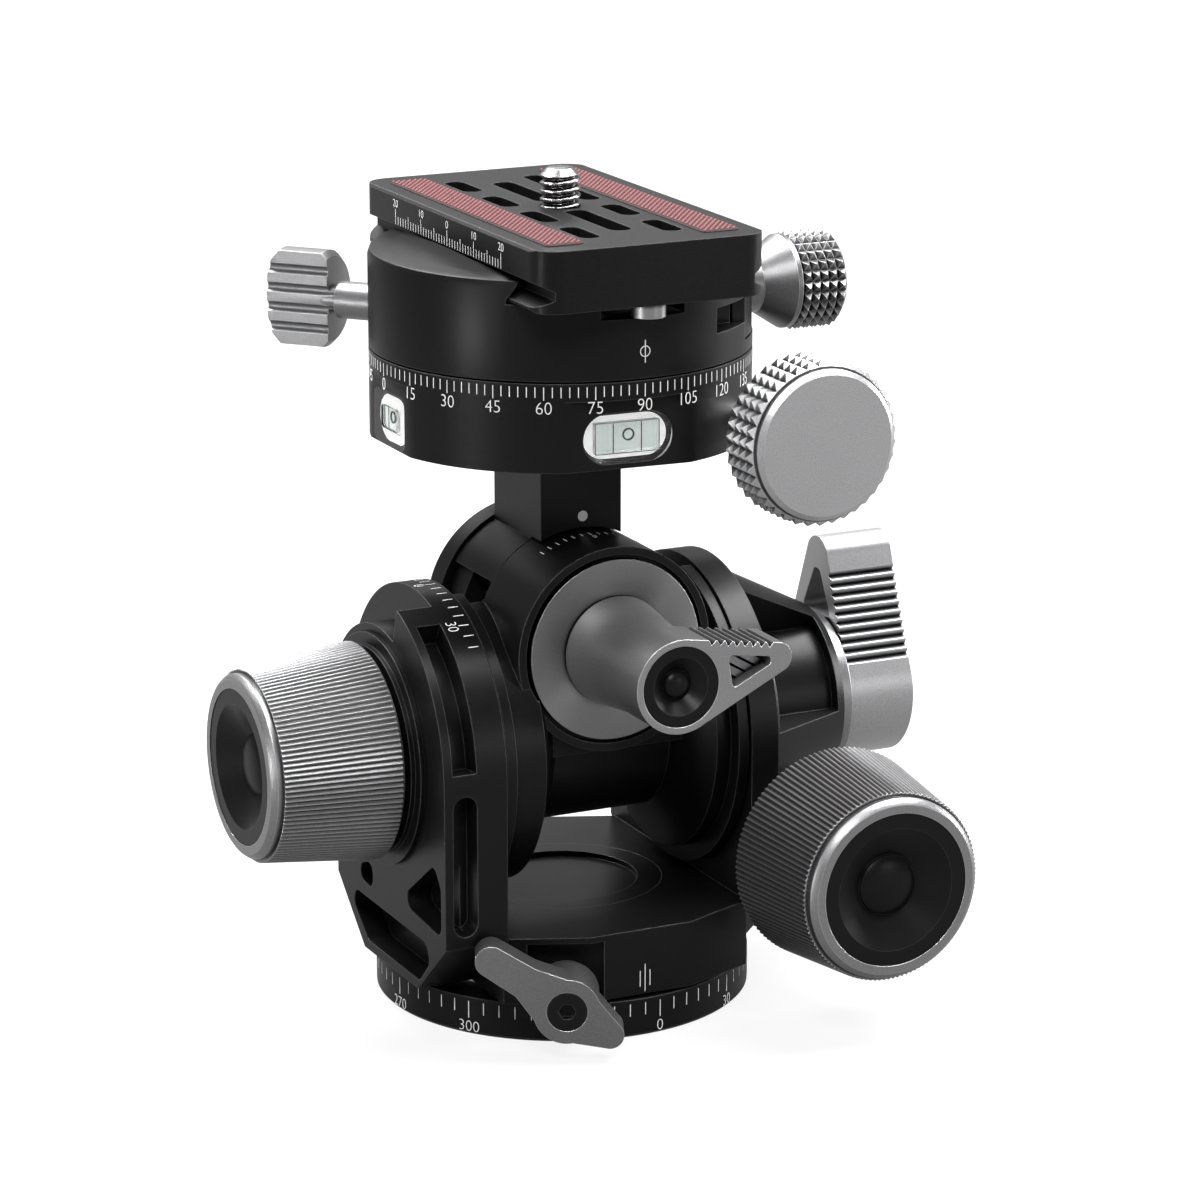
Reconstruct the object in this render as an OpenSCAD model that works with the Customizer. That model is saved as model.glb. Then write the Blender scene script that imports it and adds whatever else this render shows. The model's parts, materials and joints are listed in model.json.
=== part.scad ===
// Geared tripod head: a panning base, geared tilt and geared roll, under a geared panning clamp
// Millimetres. The origin is the centre of the base's underside, +Z is up and the front faces -Y

/* [Base] */
// Radius of the base disc
base_r = 30; // [29.5:0.25:31]
// Height of the base disc
base_h = 6.2; // [5.8:0.1:7]
// Bevel round the base disc's edges
base_bevel = 0.5; // [0.2:0.1:1]
// Radius of the pivot that the yoke turns on
pivot_r = 10; // [9:0.25:11]
// Height of the pivot above the base disc
pivot_h = 6.8; // [6.5:0.1:7]
// Radius of the threaded mounting hole
mount_r = 4.76; // [3.17:0.01:5.5]
// Depth of the threaded mounting hole
mount_depth = 9; // [6:0.5:11]
// Thickness of the sliding washer under the yoke
washer_t = 0.4; // [0.3:0.05:0.8]
// Radial width of the sliding washer
washer_w = 13; // [6:0.5:14]
// Thickness of the retaining disc on the pivot
retainer_t = 1.2; // [0.8:0.1:1.3]
// Radius of the retaining disc
retainer_r = 13; // [12:0.25:13.5]

/* [Yoke] */
// Height of the tilt axis above the base's underside
tilt_z = 43.1; // [42.5:0.1:44]
// Distance between the yoke's two arms
arm_gap = 42.2; // [41.6:0.1:43]
// Radius of the arms' rounded tops, also half their width
arm_r = 25.5; // [25:0.1:25.8]
// Thickness of each arm's scale band
band_t = 4.8; // [4:0.1:5.2]
// Thickness of the lattice plate outside the left arm
lattice_t = 5.8; // [5:0.1:6.2]
// Radius of the round collar at the top of the lattice plate
collar_r = 19.8; // [18:0.1:21]
// Height of the floor's top above the base's underside
floor_z = 17.3; // [17:0.1:17.6]
// Distance from the centre to the floor's front and back faces
floor_front = 29.1; // [28.5:0.1:29.8]
// Half width of the floor's front facet
floor_facet = 8.7; // [6:0.1:10]
// Radius of the round cap in the floor
cap_r = 16.1; // [15:0.1:17]
// Thickness of the round cap
cap_t = 2.7; // [2:0.1:2.8]
// Depth of the lattice pockets
pocket_depth = 4.2; // [2:0.1:4.8]

/* [Geared tilt and roll] */
// Height of the roll axis above the base's underside
roll_z = 60.3; // [59.8:0.1:61]
// Radius of the cross body's tube round the tilt axis
tube_r = 14.7; // [14:0.1:15.2]
// Radius of the flange discs at the ends of the cross body
flange_r = 25; // [24:0.1:25.2]
// Radius of the front barrel round the roll axis
barrel_r = 16.4; // [15.8:0.1:17]
// Distance from the tilt axis to the barrel's front face
barrel_front = 19.6; // [19:0.1:20.5]
// Distance from the tilt axis to the rear flange's back face
barrel_back = 14.6; // [14:0.1:16]
// Radius of the front cover disc
cover_r = 14.4; // [13.5:0.1:14.8]
// Number of teeth on each worm wheel
wheel_teeth = 48; // [40:1:56]
// Outer radius of each worm wheel
wheel_r = 12.2; // [11.5:0.1:12.4]
// Depth of a worm wheel's teeth
tooth_depth = 1; // [0.6:0.1:1.4]
// Outer radius of each worm
worm_r = 4.6; // [4:0.1:4.7]
// Radius of the worm shafts
shaft_r = 3; // [2.5:0.1:3.3]

/* [Fluted knobs] */
// Radius of a fluted knob at its outer end
knob_out_r = 14.9; // [14:0.1:16]
// Radius of a fluted knob at its inner end
knob_in_r = 17.3; // [16.5:0.1:18]
// Length of a fluted knob
knob_len = 21.4; // [18:0.1:24]
// Number of flutes round a knob
flutes = 120; // [60:2:140]
// Depth of the flutes
flute_depth = 0.35; // [0.2:0.05:0.6]
// Radius of the black cap in a knob's end
knob_cap_r = 12.3; // [11:0.1:12.6]
// Distance from the tilt axis to the left knob's inner end
roll_knob_x = 33.9; // [33.6:0.1:36]
// Distance from the roll plane to the front knob's inner end
tilt_knob_y = 30.2; // [30:0.1:32]
// Distance of the front knob's axis right of the centre
tilt_worm_x = 32.7; // [32:0.1:33.5]

/* [Clutch levers] */
// Radius of the front lever's hub at its cap end
roll_lever_r = 7.4; // [7:0.1:8]
// Radius of the front lever's hub at the barrel
roll_lever_root_r = 8.7; // [8:0.1:10]
// Length of the front lever's hub
roll_lever_len = 22.4; // [20:0.1:25]
// Thickness of the front lever's arm
roll_arm_t = 8.6; // [6:0.1:10]
// Reach of the front lever's arm to the centre of its tip
roll_arm_reach = 16.4; // [14:0.1:18]
// Rise of the front lever's tip above its axis
roll_arm_rise = 2.6; // [0:0.1:3]
// Radius of the front lever's tip
roll_tip_r = 2.4; // [2:0.1:3]
// Radius of the right lever's hub
tilt_lever_r = 11.7; // [10.5:0.1:12]
// Thickness of the right lever
tilt_arm_t = 11.8; // [10:0.1:13]
// Reach of the right lever's arm to the centre of its tip
tilt_arm_reach = 22; // [20:0.1:24]
// Radius of the right lever's tip
tilt_tip_r = 3.6; // [3:0.1:4.5]
// Number of grip ribs on a lever
lever_ribs = 10; // [5:1:12]
// Grip ribs on the front clutch lever
roll_ribs = 8; // [5:1:10]

/* [Rotator] */
// Outer radius of the rotator
rotator_r = 30; // [29.5:0.1:30.3]
// Height of the rotator base's underside
rotator_z = 91.3; // [91:0.1:92]
// Height of the joint between the rotator base and the turret
joint_z = 105.3; // [105:0.1:106]
// Half width of the neck
neck_half = 6.95; // [6:0.05:7.5]
// Distance of the rotator's worm from its centre
pan_worm_x = 24.6; // [24.2:0.1:25]
// Radius of the rotator's worm wheel
pan_wheel_r = 21.6; // [21:0.1:22]
// Number of teeth on the rotator's worm wheel
pan_wheel_teeth = 90; // [72:1:100]
// Outer radius of the rotator's worm
pan_worm_r = 2.6; // [2.2:0.1:2.8]
// Radius of the rotator knob
pan_knob_r = 13; // [12:0.1:13.4]
// Length of the rotator knob
pan_knob_len = 11; // [9:0.1:12]
// Distance from the centre to the rotator knob's flat face
pan_knob_y = 42.6; // [42:0.1:44]

/* [Clamp and plate] */
// Height of the plate's top
plate_z = 126.8; // [126:0.1:128]
// Thickness of the plate
plate_t = 9.5; // [9:0.1:10]
// Width of the plate
plate_w = 38.4; // [38:0.1:39]
// Length of the plate
plate_l = 68; // [60:0.5:72]
// Depth of the plate's dovetail grooves
groove_depth = 2.6; // [2:0.1:3]
// Width of each rubber pad
pad_w = 6.6; // [5:0.1:7]
// Length of each rubber pad
pad_l = 60; // [50:0.5:62]
// Radius of the camera screw
screw_r = 3.175; // [3:0.005:3.3]
// Height of the camera screw above the plate
screw_h = 6; // [4.5:0.1:7]
// Radius of the clamp knob
clamp_knob_r = 8; // [7:0.1:9]
// Length of the clamp knob's knurled part
clamp_knob_len = 7.6; // [6:0.1:9]
// Height of the clamp screw's axis
clamp_z = 111.6; // [111:0.1:112]
// Travel of the clamp jaw
jaw_travel = 3; // [2:0.1:3.5]
// Angle of the turret lock knob behind the left side
lock_angle = 48; // [40:1:55]
// Radius of the turret lock knob's paddle
paddle_r = 7.8; // [6:0.1:8.5]

/* [Hidden] */

$fn = 64;
black = "#1b1b1d";
grey = "#8b8c8e";
steel = "#c9cbcd";
brass = "#b89b56";
clear = "#dfe8ea";
red = "#8f4a4c";
// How far a cut runs past the face that it opens
over = 1;
// Radial play of a shaft in its bush
play = 0.05;
// Radial gap between fixed pieces of one body
seat = 0.01;
// Gap between faces that move past each other
gap = 0.3;

// Base
pivot_top = base_h + pivot_h;
retainer_z = pivot_top;
web_z = pivot_top - gap;
retainer_screw_r = 0.9;
retainer_head_r = 1.7;
retainer_head_t = 0.7;
retainer_pcd = 14.8;
retainer_screws_n = 3;
retainer_screw_l = 4;

// Yoke
yoke_z = base_h + washer_t;
arm_in = arm_gap / 2;
band_x = arm_in + band_t;
lattice_x = band_x + lattice_t;
floor_side_x = arm_in + 0.4 * gap;
floor_side_y = 23.9;
shoulder_z = floor_z + gap / 3;
foot_z = base_h + 2 * gap + over;
foot_front = 14.6;
foot_back = 6.8;
lattice_back = 17.6;
lattice_shoulder = 48;
cap_recess_r = 12.2;
cap_recess = 0.9;
lock_turn = 24;
lock_z = 8.6;
lock_face = 27.6;
lock_pocket_w = 12;
lock_pocket_z = 16.3;
lock_screw_r = 1.5;
shoe_r = 1.75;
shoe_l = 3.6;
lever_hub_r = 5.2;
lever_back = base_r + 2 * gap;
lever_depth = 8.9;
lever_arm_back = 34.9;
lever_boss_r = 2.1;
lever_head_r = 3.15;
lever_head_t = 2.4;
lever_arm_x = 11.6;
lever_arm_z = 8.2;
lever_tip_r = 2.5;
lever_tail_x = 6.6;
lever_tail_z = 3.9;
lever_tail_r = 2.2;
lever_waist_r = 2.7;
lever_waist_share = 0.52;
bush_r = 13.6;
trunnion_r = 12;
slot_w = 4;
slot_depth = 4;
slot_low_z = 19.2;
slot_high_z = 41.8;
slot_arc_low = 5;
slot_arc_high = 62;
sector_low = 0;
sector_high = 72;
arc_depth = 2.6;
arc_inset = 3.4;
index_w = 0.3;

// Corners of the lattice pockets, as shares of the arm's half width and of the height from foot to axis
pocket_shares = [[[0.56, 0.335], [0.12, 0.44], [0.12, 0.305]],
    [[-0.84, 0.635], [-0.42, 0.42], [-0.42, 0.35], [-0.94, 0.32], [-0.94, 0.54]],
    [[0.4, 0.25], [-0.71, 0.245], [-0.76, 0.16], [-0.6, 0.045], [0.21, 0.045], [0.44, 0.18]]];

// Right housing, round the tilt worm wheel and its worm
centre_dist = roll_z - tilt_z;
tilt_worm_z = tilt_z - centre_dist;
housing_root_r = 23.6;
housing_r = 14.6;
housing_x = 43.6;
window_low = 2;
window_high = 66;
housing_wall = 1.6;
housing_nose_r = 12;
worm_wall = 3.6;
worm_hole_r = worm_r + 2 * gap;
worm_house_r = worm_hole_r + worm_wall;
worm_house_y = tilt_knob_y - 4 * gap;
worm_house_back = 17;
worm_bush_l = 4;
worm_bush_r = worm_hole_r - over;
ring_r = 13.2;
ring_x = 45.8;
tilt_lever_x = ring_x + gap;
tilt_lever_out = tilt_lever_x + tilt_arm_t;
stub_r = 8;
wheel_w = 7;
wheel_hub_r = 10;
wheel_in_x = tilt_worm_x - wheel_w / 2;
wheel_out_x = tilt_worm_x + wheel_w / 2;
clutch_r = 9.4;
clutch_t = 1.6;
stud_r = 2.6;
cap_depth = 3.2;

// Cross body
body_x = arm_in - gap;
flange_t = 1.7;
step_r = 22.3;
step_x = 16.6;
right_cone_x = 12;
left_step_x = 13.4;
left_cone_x = 8;
slot_front = 4.2;
barrel_open = 90;
drum_half = 58;
slot_back = 10.4;
hub_r = 15.4;
rear_r = 16.9;
cover_t = 1.6;
cover_groove = 0.7;
roll_shaft_r = 6;
roll_bush_r = 7.6;
cheek_half = barrel_r;
rear_cover_r = 13;
worm_cavity_x = 11;
roll_worm_half = 7;
trunnion_x = lattice_x + gap;

// Worm thread
worm_root_r = worm_r - tooth_depth;
worm_pitch = 2 * PI * wheel_r / wheel_teeth;
thread_steps = 18;
thread_land_share = 0.3;
thread_base_share = 0.72;
tooth_tip_share = 0.3;
tooth_root_share = 0.62;

// Fluted knob
knob_lip = 1.8;
knob_edge = 0.9;
cap_ring_r = 9.9;
cap_dome_r = 4.9;
cap_dish = 3;
cap_dome_h = 1.5;
cap_seat = 4.4;
skirt_r = 15.6;
collar_step = 1.3;
skirt_depth = 0.8;

// Lever details
rib_depth = 0.85;
bar_lean = 50;
bar_w = 1.1;
bar_share = 0.7;
bar_start_share = 0.2;
rib_pitch_share = 0.84;
window_wall = 2.1;
window_r = 0.8;
pocket_corner = 1.6;
round_steps = 5;

// Neck and rotator base
neck_front = 7.4;
neck_back = 10.1;
neck_arc_r = barrel_r + gap;
rotator_floor = 1.5;
flat_front_turn = 4;
flat_front = 28.2;
flat_left = 29;
level_r = 3.9;
level_half = 7.25;
level_depth = 2.6;
level_z = 96.1;
level_left_z = 95.7;
level_left_w = 11.9;
level_left_h = 8.4;
level_left_y = 0.5;
level_left_depth = 3.2;
level_corner = 1.6;
vial_l = 10.4;
vial_h = 4.8;
vial_d = 1.8;
vial_left_l = 6.2;
vial_left_h = 3.6;
vial_inset = 0.3;
pan_worm_z = 95.1;
pan_wheel_w = 4;
pan_tooth = 0.7;
pan_shaft_r = 1.9;
pan_boss_r = 4;
pan_boss_y = 12.5;
pan_boss_end = pan_knob_y - pan_knob_len - gap;
pan_worm_half = 6.5;
pan_pocket_half = 9.5;
pan_wheel_lo = pan_worm_z - pan_wheel_w / 2;
pan_wheel_hi = pan_worm_z + pan_wheel_w / 2;
spindle_r = 18;
post_r = 9;
post_web_z = 113.7;
post_cap_r = 12;
post_cap_t = 1.2;
post_screw_r = 2;
post_screw_head = 3.6;
post_screw_t = 1;
post_screw_l = 8;
bearing_w = 6.4;

// Knurled knobs
pyramid_h = 0.9;
pan_rows = 4;
pan_count = 38;
clamp_rows = 5;
clamp_count = 26;
pan_bevel = 1.3;
pan_back_l = 1.4;

// Turret and clamp
turret_rim_z = 119.6;
turret_edge_r = 1.5;
turret_crown_z = 121.9;
channel_z = plate_z - plate_t - gap / 2;
jaw_lip = 1.9;
plate_half = plate_w / 2;
groove_z = plate_z - 4.9;
groove_h = 2.5;
jaw_x = plate_half + gap;
jaw_half = 20.4;
jaw_notch_x = 13.8;
jaw_notch_z = 114.3;
jaw_notch_h = 3.9;
jaw_floor_z = 107.4;
jaw_r = rotator_r - gap / 2;
jaw_front_z = clamp_z + 3.6;
stop_r = 2.65;
stop_inset = 3;
stop_travel = 15;
stop_y = plate_l / 2 - stop_inset;
stop_head = 2.1;
stop_shank_r = 1.3;
stop_shank = 4;
stop_slot_half = 7;
stop_slot_z = channel_z - 2.4;
stop_slot_end = stop_y - stop_travel - stop_r - gap / 2;
clamp_screw_r = 2;
clamp_screw_in = 10.6;
clamp_cone_x = 33.6;
clamp_cone_l = 4.6;
clamp_neck_r = 4.6;
clamp_ring_l = 0.8;
pin_r = 1.2;
pin_y = 12;
pin_in = 13;
spring_y = 6.6;
spring_r = 2;
spring_wire = 0.35;
spring_turns = 4;
coil_steps = 10;
coil_sides = 6;
spring_in = 13.6;
lock_z_turret = 109;
lock_shaft_r = 3;
paddle_in = 39.4;
paddle_out = 50.2;
paddle_dome = 2.4;
paddle_edge = 0.9;
paddle_flat = 1.9;
paddle_neck = 1.6;
paddle_neck_r = 2;
paddle_grooves = 4;
paddle_groove_r = 0.85;

// Plate
plate_corner_r = 4.2;
plate_bevel = 0.4;
small_slot_w = 3.4;
small_slot_l = 9.8;
small_slot_x = 6.9;
small_slot_step = 14.3;
mid_slot_w = 3.7;
mid_slot_in = 4.2;
mid_slot_out = 22.8;
pad_x = 13;
pad_t = 1;
pad_sink = 0.6;
pad_corner = 1.4;
screw_slot = 1.2;
screw_bevel = 0.5;
screw_head_r = 5.4;
screw_head_t = 2.6;
screw_shank_r = 2.4;

function unit(v) = v / norm(v);
// Points of one rounded corner at p1, between its neighbours p0 and p2
function corner(p0, p1, p2, r, n) =
    let(v1 = unit(p0 - p1), v2 = unit(p2 - p1), half = acos(v1 * v2) / 2,
        c = p1 + unit(v1 + v2) * r / sin(half), d = r / tan(half),
        a = p1 + v1 * d - c, b = p1 + v2 * d - c,
        a0 = atan2(a[1], a[0]), a1 = atan2(b[1], b[0]), turn = (a1 - a0 + 540) % 360 - 180)
    [for (i = [0:n]) c + r * [cos(a0 + turn * i / n), sin(a0 + turn * i / n)]];
function rounded(pts, r, n = round_steps) =
    let(m = len(pts))
    [for (i = [0:m - 1]) each corner(pts[(i + m - 1) % m], pts[i], pts[(i + 1) % m], r, n)];
function box_pts(w, h) = [[-w / 2, -h / 2], [w / 2, -h / 2], [w / 2, h / 2], [-w / 2, h / 2]];
function arc_pts(r, a0, a1, n) = [for (i = [0:n]) r * [cos(a0 + (a1 - a0) * i / n), sin(a0 + (a1 - a0) * i / n)]];

// Cylinders along an axis, from one place on it to another
module rod_z(r, z0, z1) translate([0, 0, z0]) cylinder(r = r, h = z1 - z0);
module rod_x(r, x0, x1) translate([x0, 0, 0]) rotate([0, 90, 0]) cylinder(r = r, h = x1 - x0);
module rod_y(r, y0, y1) translate([0, y0, 0]) rotate([-90, 0, 0]) cylinder(r = r, h = y1 - y0);
module cone_x(r0, r1, x0, x1) translate([x0, 0, 0]) rotate([0, 90, 0]) cylinder(r1 = r0, r2 = r1, h = x1 - x0);
module ring_x(r_in, r_out, x0, x1) difference() {
    rod_x(r_out, x0, x1);
    rod_x(r_in, x0 - over, x1 + over);
}
module ring_y(r_in, r_out, y0, y1) difference() {
    rod_y(r_out, y0, y1);
    rod_y(r_in, y0 - over, y1 + over);
}
module ring_z(r_in, r_out, z0, z1) difference() {
    rod_z(r_out, z0, z1);
    rod_z(r_in, z0 - over, z1 + over);
}
// A block between two corners
module block(a, b) translate(a) cube(b - a);
// An outline in (y, z) made thick along X, and one in (x, z) made thick along Y
module slab_x(x0, x1) translate([x0, 0, 0]) rotate([90, 0, 90]) linear_extrude(x1 - x0) children();
module slab_y(y0, y1) translate([0, y1, 0]) rotate([90, 0, 0]) linear_extrude(y1 - y0) children();
// A revolved outline of (radius, place) about an axis
module lathe_x(pts) rotate([0, 90, 0]) rotate_extrude() polygon(pts);
module lathe_front(pts) rotate([90, 0, 0]) rotate_extrude() polygon(pts);
module at_tilt() translate([0, 0, tilt_z]) children();
module at_roll() translate([0, 0, roll_z]) children();
module at_tilt_worm() translate([tilt_worm_x, 0, tilt_worm_z]) children();
module at_pan_worm() translate([pan_worm_x, 0, pan_worm_z]) children();
module at_lock() rotate([0, 0, -lock_turn]) translate([0, 0, lock_z]) children();
module at_turret_lock() rotate([0, 0, -90 - lock_angle]) translate([0, 0, lock_z_turret]) children();
module at_clamp() translate([0, 0, clamp_z]) children();

// Two discs joined by their outer tangents, the second one at p
module tangent_bar(r0, r1, p) {
    d = norm(p);
    lean = acos((r0 - r1) / d);
    way = atan2(p[1], p[0]);
    circle(r = r0);
    translate(p) circle(r = r1);
    polygon([for (s = [-1, 1]) (r0 - seat) * [cos(way + s * lean), sin(way + s * lean)],
        for (s = [1, -1]) p + (r1 - seat) * [cos(way + s * lean), sin(way + s * lean)]]);
}

// A straight-cut toothed disc outline
module gear_outline(r, depth, teeth) {
    step = 360 / teeth;
    tip = step * tooth_tip_share / 2;
    root = step * tooth_root_share / 2;
    polygon([for (i = [0:teeth - 1]) each [
        (r - depth) * [cos(i * step - root), sin(i * step - root)],
        r * [cos(i * step - tip), sin(i * step - tip)],
        r * [cos(i * step + tip), sin(i * step + tip)],
        (r - depth) * [cos(i * step + root), sin(i * step + root)]]]);
}

// A helical thread along Z from -half to half, on a core of radius root
module thread(half, r, root, pitch) {
    steps = floor((2 * half - pitch) / pitch * thread_steps);
    low = thread_base_share * pitch / 2;
    land = thread_land_share * pitch / 2;
    section = [[root - play, -low], [r, -land], [r, land], [root - play, low]];
    start = -steps * pitch / thread_steps / 2;
    pts = [for (i = [0:steps]) for (s = section)
        [s[0] * cos(i * 360 / thread_steps), s[0] * sin(i * 360 / thread_steps),
            start + i * pitch / thread_steps + s[1]]];
    sides = [for (i = [0:steps - 1]) for (k = [0:3])
        let(a = 4 * i + k, b = 4 * i + (k + 1) % 4) each [[b + 4, a + 4, a], [b, b + 4, a]]];
    last = 4 * steps;
    polyhedron(pts, concat(sides, [[2, 1, 0], [3, 2, 0]],
        [[last, last + 1, last + 2], [last, last + 2, last + 3]]));
}

// A band of pyramids round a cylinder along Z, from 0 to h
module pyramid_band(r, h, rows, count) {
    low = r - pyramid_h;
    grid = [for (j = [0:rows]) for (i = [0:count - 1])
        [low * cos(i * 360 / count), low * sin(i * 360 / count), j * h / rows]];
    peaks = [for (j = [0:rows - 1]) for (i = [0:count - 1])
        [r * cos((i + 0.5) * 360 / count), r * sin((i + 0.5) * 360 / count), (j + 0.5) * h / rows]];
    base = len(grid);
    faces = [for (j = [0:rows - 1]) for (i = [0:count - 1])
        let(a = j * count + i, b = j * count + (i + 1) % count, p = base + j * count + i)
        each [[b, a, p], [b + count, b, p], [a + count, b + count, p], [a, a + count, p]]];
    polyhedron(concat(grid, peaks), concat(faces, [[for (i = [0:count - 1]) i]],
        [[for (i = [count - 1:-1:0]) rows * count + i]]));
}

// The fluted knob along +Z, from its inner end to its capped outer end
module fluted_knob() {
    band = knob_len - knob_lip - knob_edge;
    lip_r = knob_out_r - flute_depth;
    difference() {
        union() {
            translate([0, 0, knob_edge]) linear_extrude(band, scale = (knob_out_r + flute_depth) / knob_in_r)
                polygon([for (i = [0:2 * flutes - 1])
                    (knob_in_r - flute_depth * (i % 2)) * [cos(i * 180 / flutes), sin(i * 180 / flutes)]]);
            rotate_extrude() polygon([[0, 0], [knob_in_r - knob_edge - 2 * flute_depth, 0],
                [knob_in_r - 2 * flute_depth, knob_edge / 2], [knob_in_r - 2 * flute_depth, knob_edge + over],
                [0, knob_edge + over]]);
            rotate_extrude() polygon([[0, knob_edge + band - over], [lip_r, knob_edge + band - over],
                [lip_r, knob_len - knob_lip / 2], [lip_r - knob_lip / 4, knob_len - knob_lip / 6],
                [lip_r - knob_lip / 2, knob_len], [0, knob_len]]);
        }
        rod_z(knob_cap_r + seat, knob_len - cap_seat, knob_len + over);
        rod_z(shaft_r + seat, -over, knob_len);
        ring_z(shaft_r + 2 * over, skirt_r, -over, skirt_depth);
    }
}

// The black cap in a knob's end: a flat ring, a dished cone and a domed button, along +Z
module end_cap(r, ring, dome, dish, depth, rise) {
    rotate_extrude() polygon(concat([[0, 0], [r, 0], [r, depth], [ring, depth], [dome, depth - dish]],
        [for (a = [0:15:90]) [dome * cos(a), depth - dish + rise * sin(a)]]));
}

// Grip ribs cut along one edge of a lever arm, between two places on the edge
module rib_cuts(p, q, t, ribs) {
    way = unit(q - p);
    step = norm(q - p) / ribs;
    for (i = [0:ribs - 1])
        translate([p[0], p[1], -over] + (i + 0.5) * step * [way[0], way[1], 0])
            rotate([0, 0, atan2(way[1], way[0])]) linear_extrude(t + 2 * over)
                polygon([[-step * rib_pitch_share, rib_depth], [0, -rib_depth],
                    [step * rib_pitch_share, rib_depth]]);
}

// The outline of a lever's window, from its wide end to its narrow one
function lever_window(near, far, wide, narrow) = [[near, -wide], [far, -narrow], [far, narrow], [near, wide]];
// A clutch lever's arm outline with its window, along +Z
module lever_arm(r0, r1, p, t, ribs, ribs_share, bars = 0) {
    d = norm(p);
    lean = acos((r0 - r1) / d);
    way = atan2(p[1], p[0]);
    side = [cos(way + lean), sin(way + lean)];
    a = r0 * side;
    b = p + r1 * side;
    near = r0 + window_wall / 2;
    apex = unit(p) * (d - r1 * 0.6);
    spread = (r0 - window_wall) * (1 - near / d) + (r1 - window_wall) * near / d;
    difference() {
        union() {
            cylinder(r = r0, h = t);
            translate(p) cylinder(r = r1, h = t);
            linear_extrude(t) tangent_bar(r0 - seat, r1 - seat, p);
        }
        rib_cuts(a + (b - a) * ribs_share[0], a + (b - a) * ribs_share[1], t, ribs);
        translate([0, 0, -over]) linear_extrude(t + 2 * over) rotate(way)
            polygon(rounded(lever_window(near, d - r1 / 2, spread, r1 / 4), r1 / 4));
    }
    far = d - r1 / 2;
    if (bars > 0) intersection() {
        linear_extrude(t * bar_share) rotate(way)
            polygon(lever_window(near - gap, far + gap, spread + gap, r1 / 4 + gap));
        for (i = [0:bars - 1]) rotate(way) translate([near + (i + bar_start_share) / bars * (far - near), 0, 0])
            rotate(bar_lean) translate([-bar_w / 2, -d, -over]) cube([bar_w, 2 * d, t]);
    }
}

// Base: disc, pivot, washer and retainer
module base_disc() {
    color(black) difference() {
        rotate_extrude() polygon([[0, 0], [base_r - base_bevel, 0], [base_r, base_bevel],
            [base_r, base_h], [pivot_r, base_h], [pivot_r, pivot_top], [0, pivot_top]]);
        rod_z(mount_r, -over, mount_depth);
        retainer_places() rod_z(retainer_screw_r + seat, pivot_top - retainer_screw_l, pivot_top + over);
    }
}
module retainer_places() {
    for (i = [0:retainer_screws_n - 1])
        rotate([0, 0, i * 360 / retainer_screws_n]) translate([retainer_pcd / 2, 0, 0]) children();
}
module pan_washer() {
    color("#d8d8d2") ring_z(pivot_r + over, pivot_r + over + washer_w, base_h, yoke_z);
}
module pan_retainer() {
    color(steel) difference() {
        rod_z(retainer_r, retainer_z, retainer_z + retainer_t);
        retainer_places() {
            rod_z(retainer_screw_r + seat, retainer_z - over, retainer_z + retainer_t + over);
            rod_z(retainer_head_r + seat, retainer_z + retainer_t - retainer_head_t, retainer_z + retainer_t + over);
        }
    }
}
module retainer_screws() {
    color(steel) retainer_places() {
        rod_z(retainer_screw_r, pivot_top - retainer_screw_l + gap, retainer_z + retainer_t - gap);
        rod_z(retainer_head_r, retainer_z + retainer_t - retainer_head_t, retainer_z + retainer_t);
    }
}

// Yoke: the floor with its two arms
module arm_outline() {
    translate([0, tilt_z]) circle(r = arm_r);
    polygon([[-arm_r, tilt_z], [-arm_r, shoulder_z], [-foot_front, foot_z], [foot_front, foot_z],
        [arm_r, shoulder_z], [arm_r, tilt_z]]);
}
module lattice_outline() {
    translate([0, tilt_z]) circle(r = collar_r);
    polygon([[-arm_r, tilt_z], [-arm_r, shoulder_z], [-foot_front, foot_z], [foot_back, foot_z],
        [lattice_back, shoulder_z], [lattice_back, tilt_z]]);
    translate([0, tilt_z]) intersection() {
        circle(r = arm_r);
        polygon([[0, 0], each 2 * arc_pts(arm_r, 180, 180 - sector_high, 4)]);
    }
}
module lattice_pockets() {
    slab_x(-lattice_x - over, -lattice_x + pocket_depth) {
        for (shares = pocket_shares) polygon(rounded([for (s = shares)
            [s[0] * arm_r, foot_z + s[1] * (tilt_z - foot_z)]], pocket_corner));
    }
}
module front_slots() {
    x0 = -band_x - slot_w - gap;
    x1 = -band_x - gap;
    translate([0, 0, tilt_z]) intersection() {
        ring_x(arm_r - slot_depth, arm_r + over, x0, x1);
        slab_x(x0 - over, x1 + over)
            polygon([[0, 0], each 2 * arc_pts(arm_r, 180 - slot_arc_low, 180 - slot_arc_high, 4)]);
    }
    mid = (x0 + x1) / 2;
    block([x0, -arm_r - over, slot_low_z + slot_w / 2], [x1, -arm_r + slot_depth, slot_high_z - slot_w / 2]);
    for (z = [slot_low_z + slot_w / 2, slot_high_z - slot_w / 2])
        translate([mid, 0, z]) rod_y(slot_w / 2, -arm_r - over, -arm_r + slot_depth);
}
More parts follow.
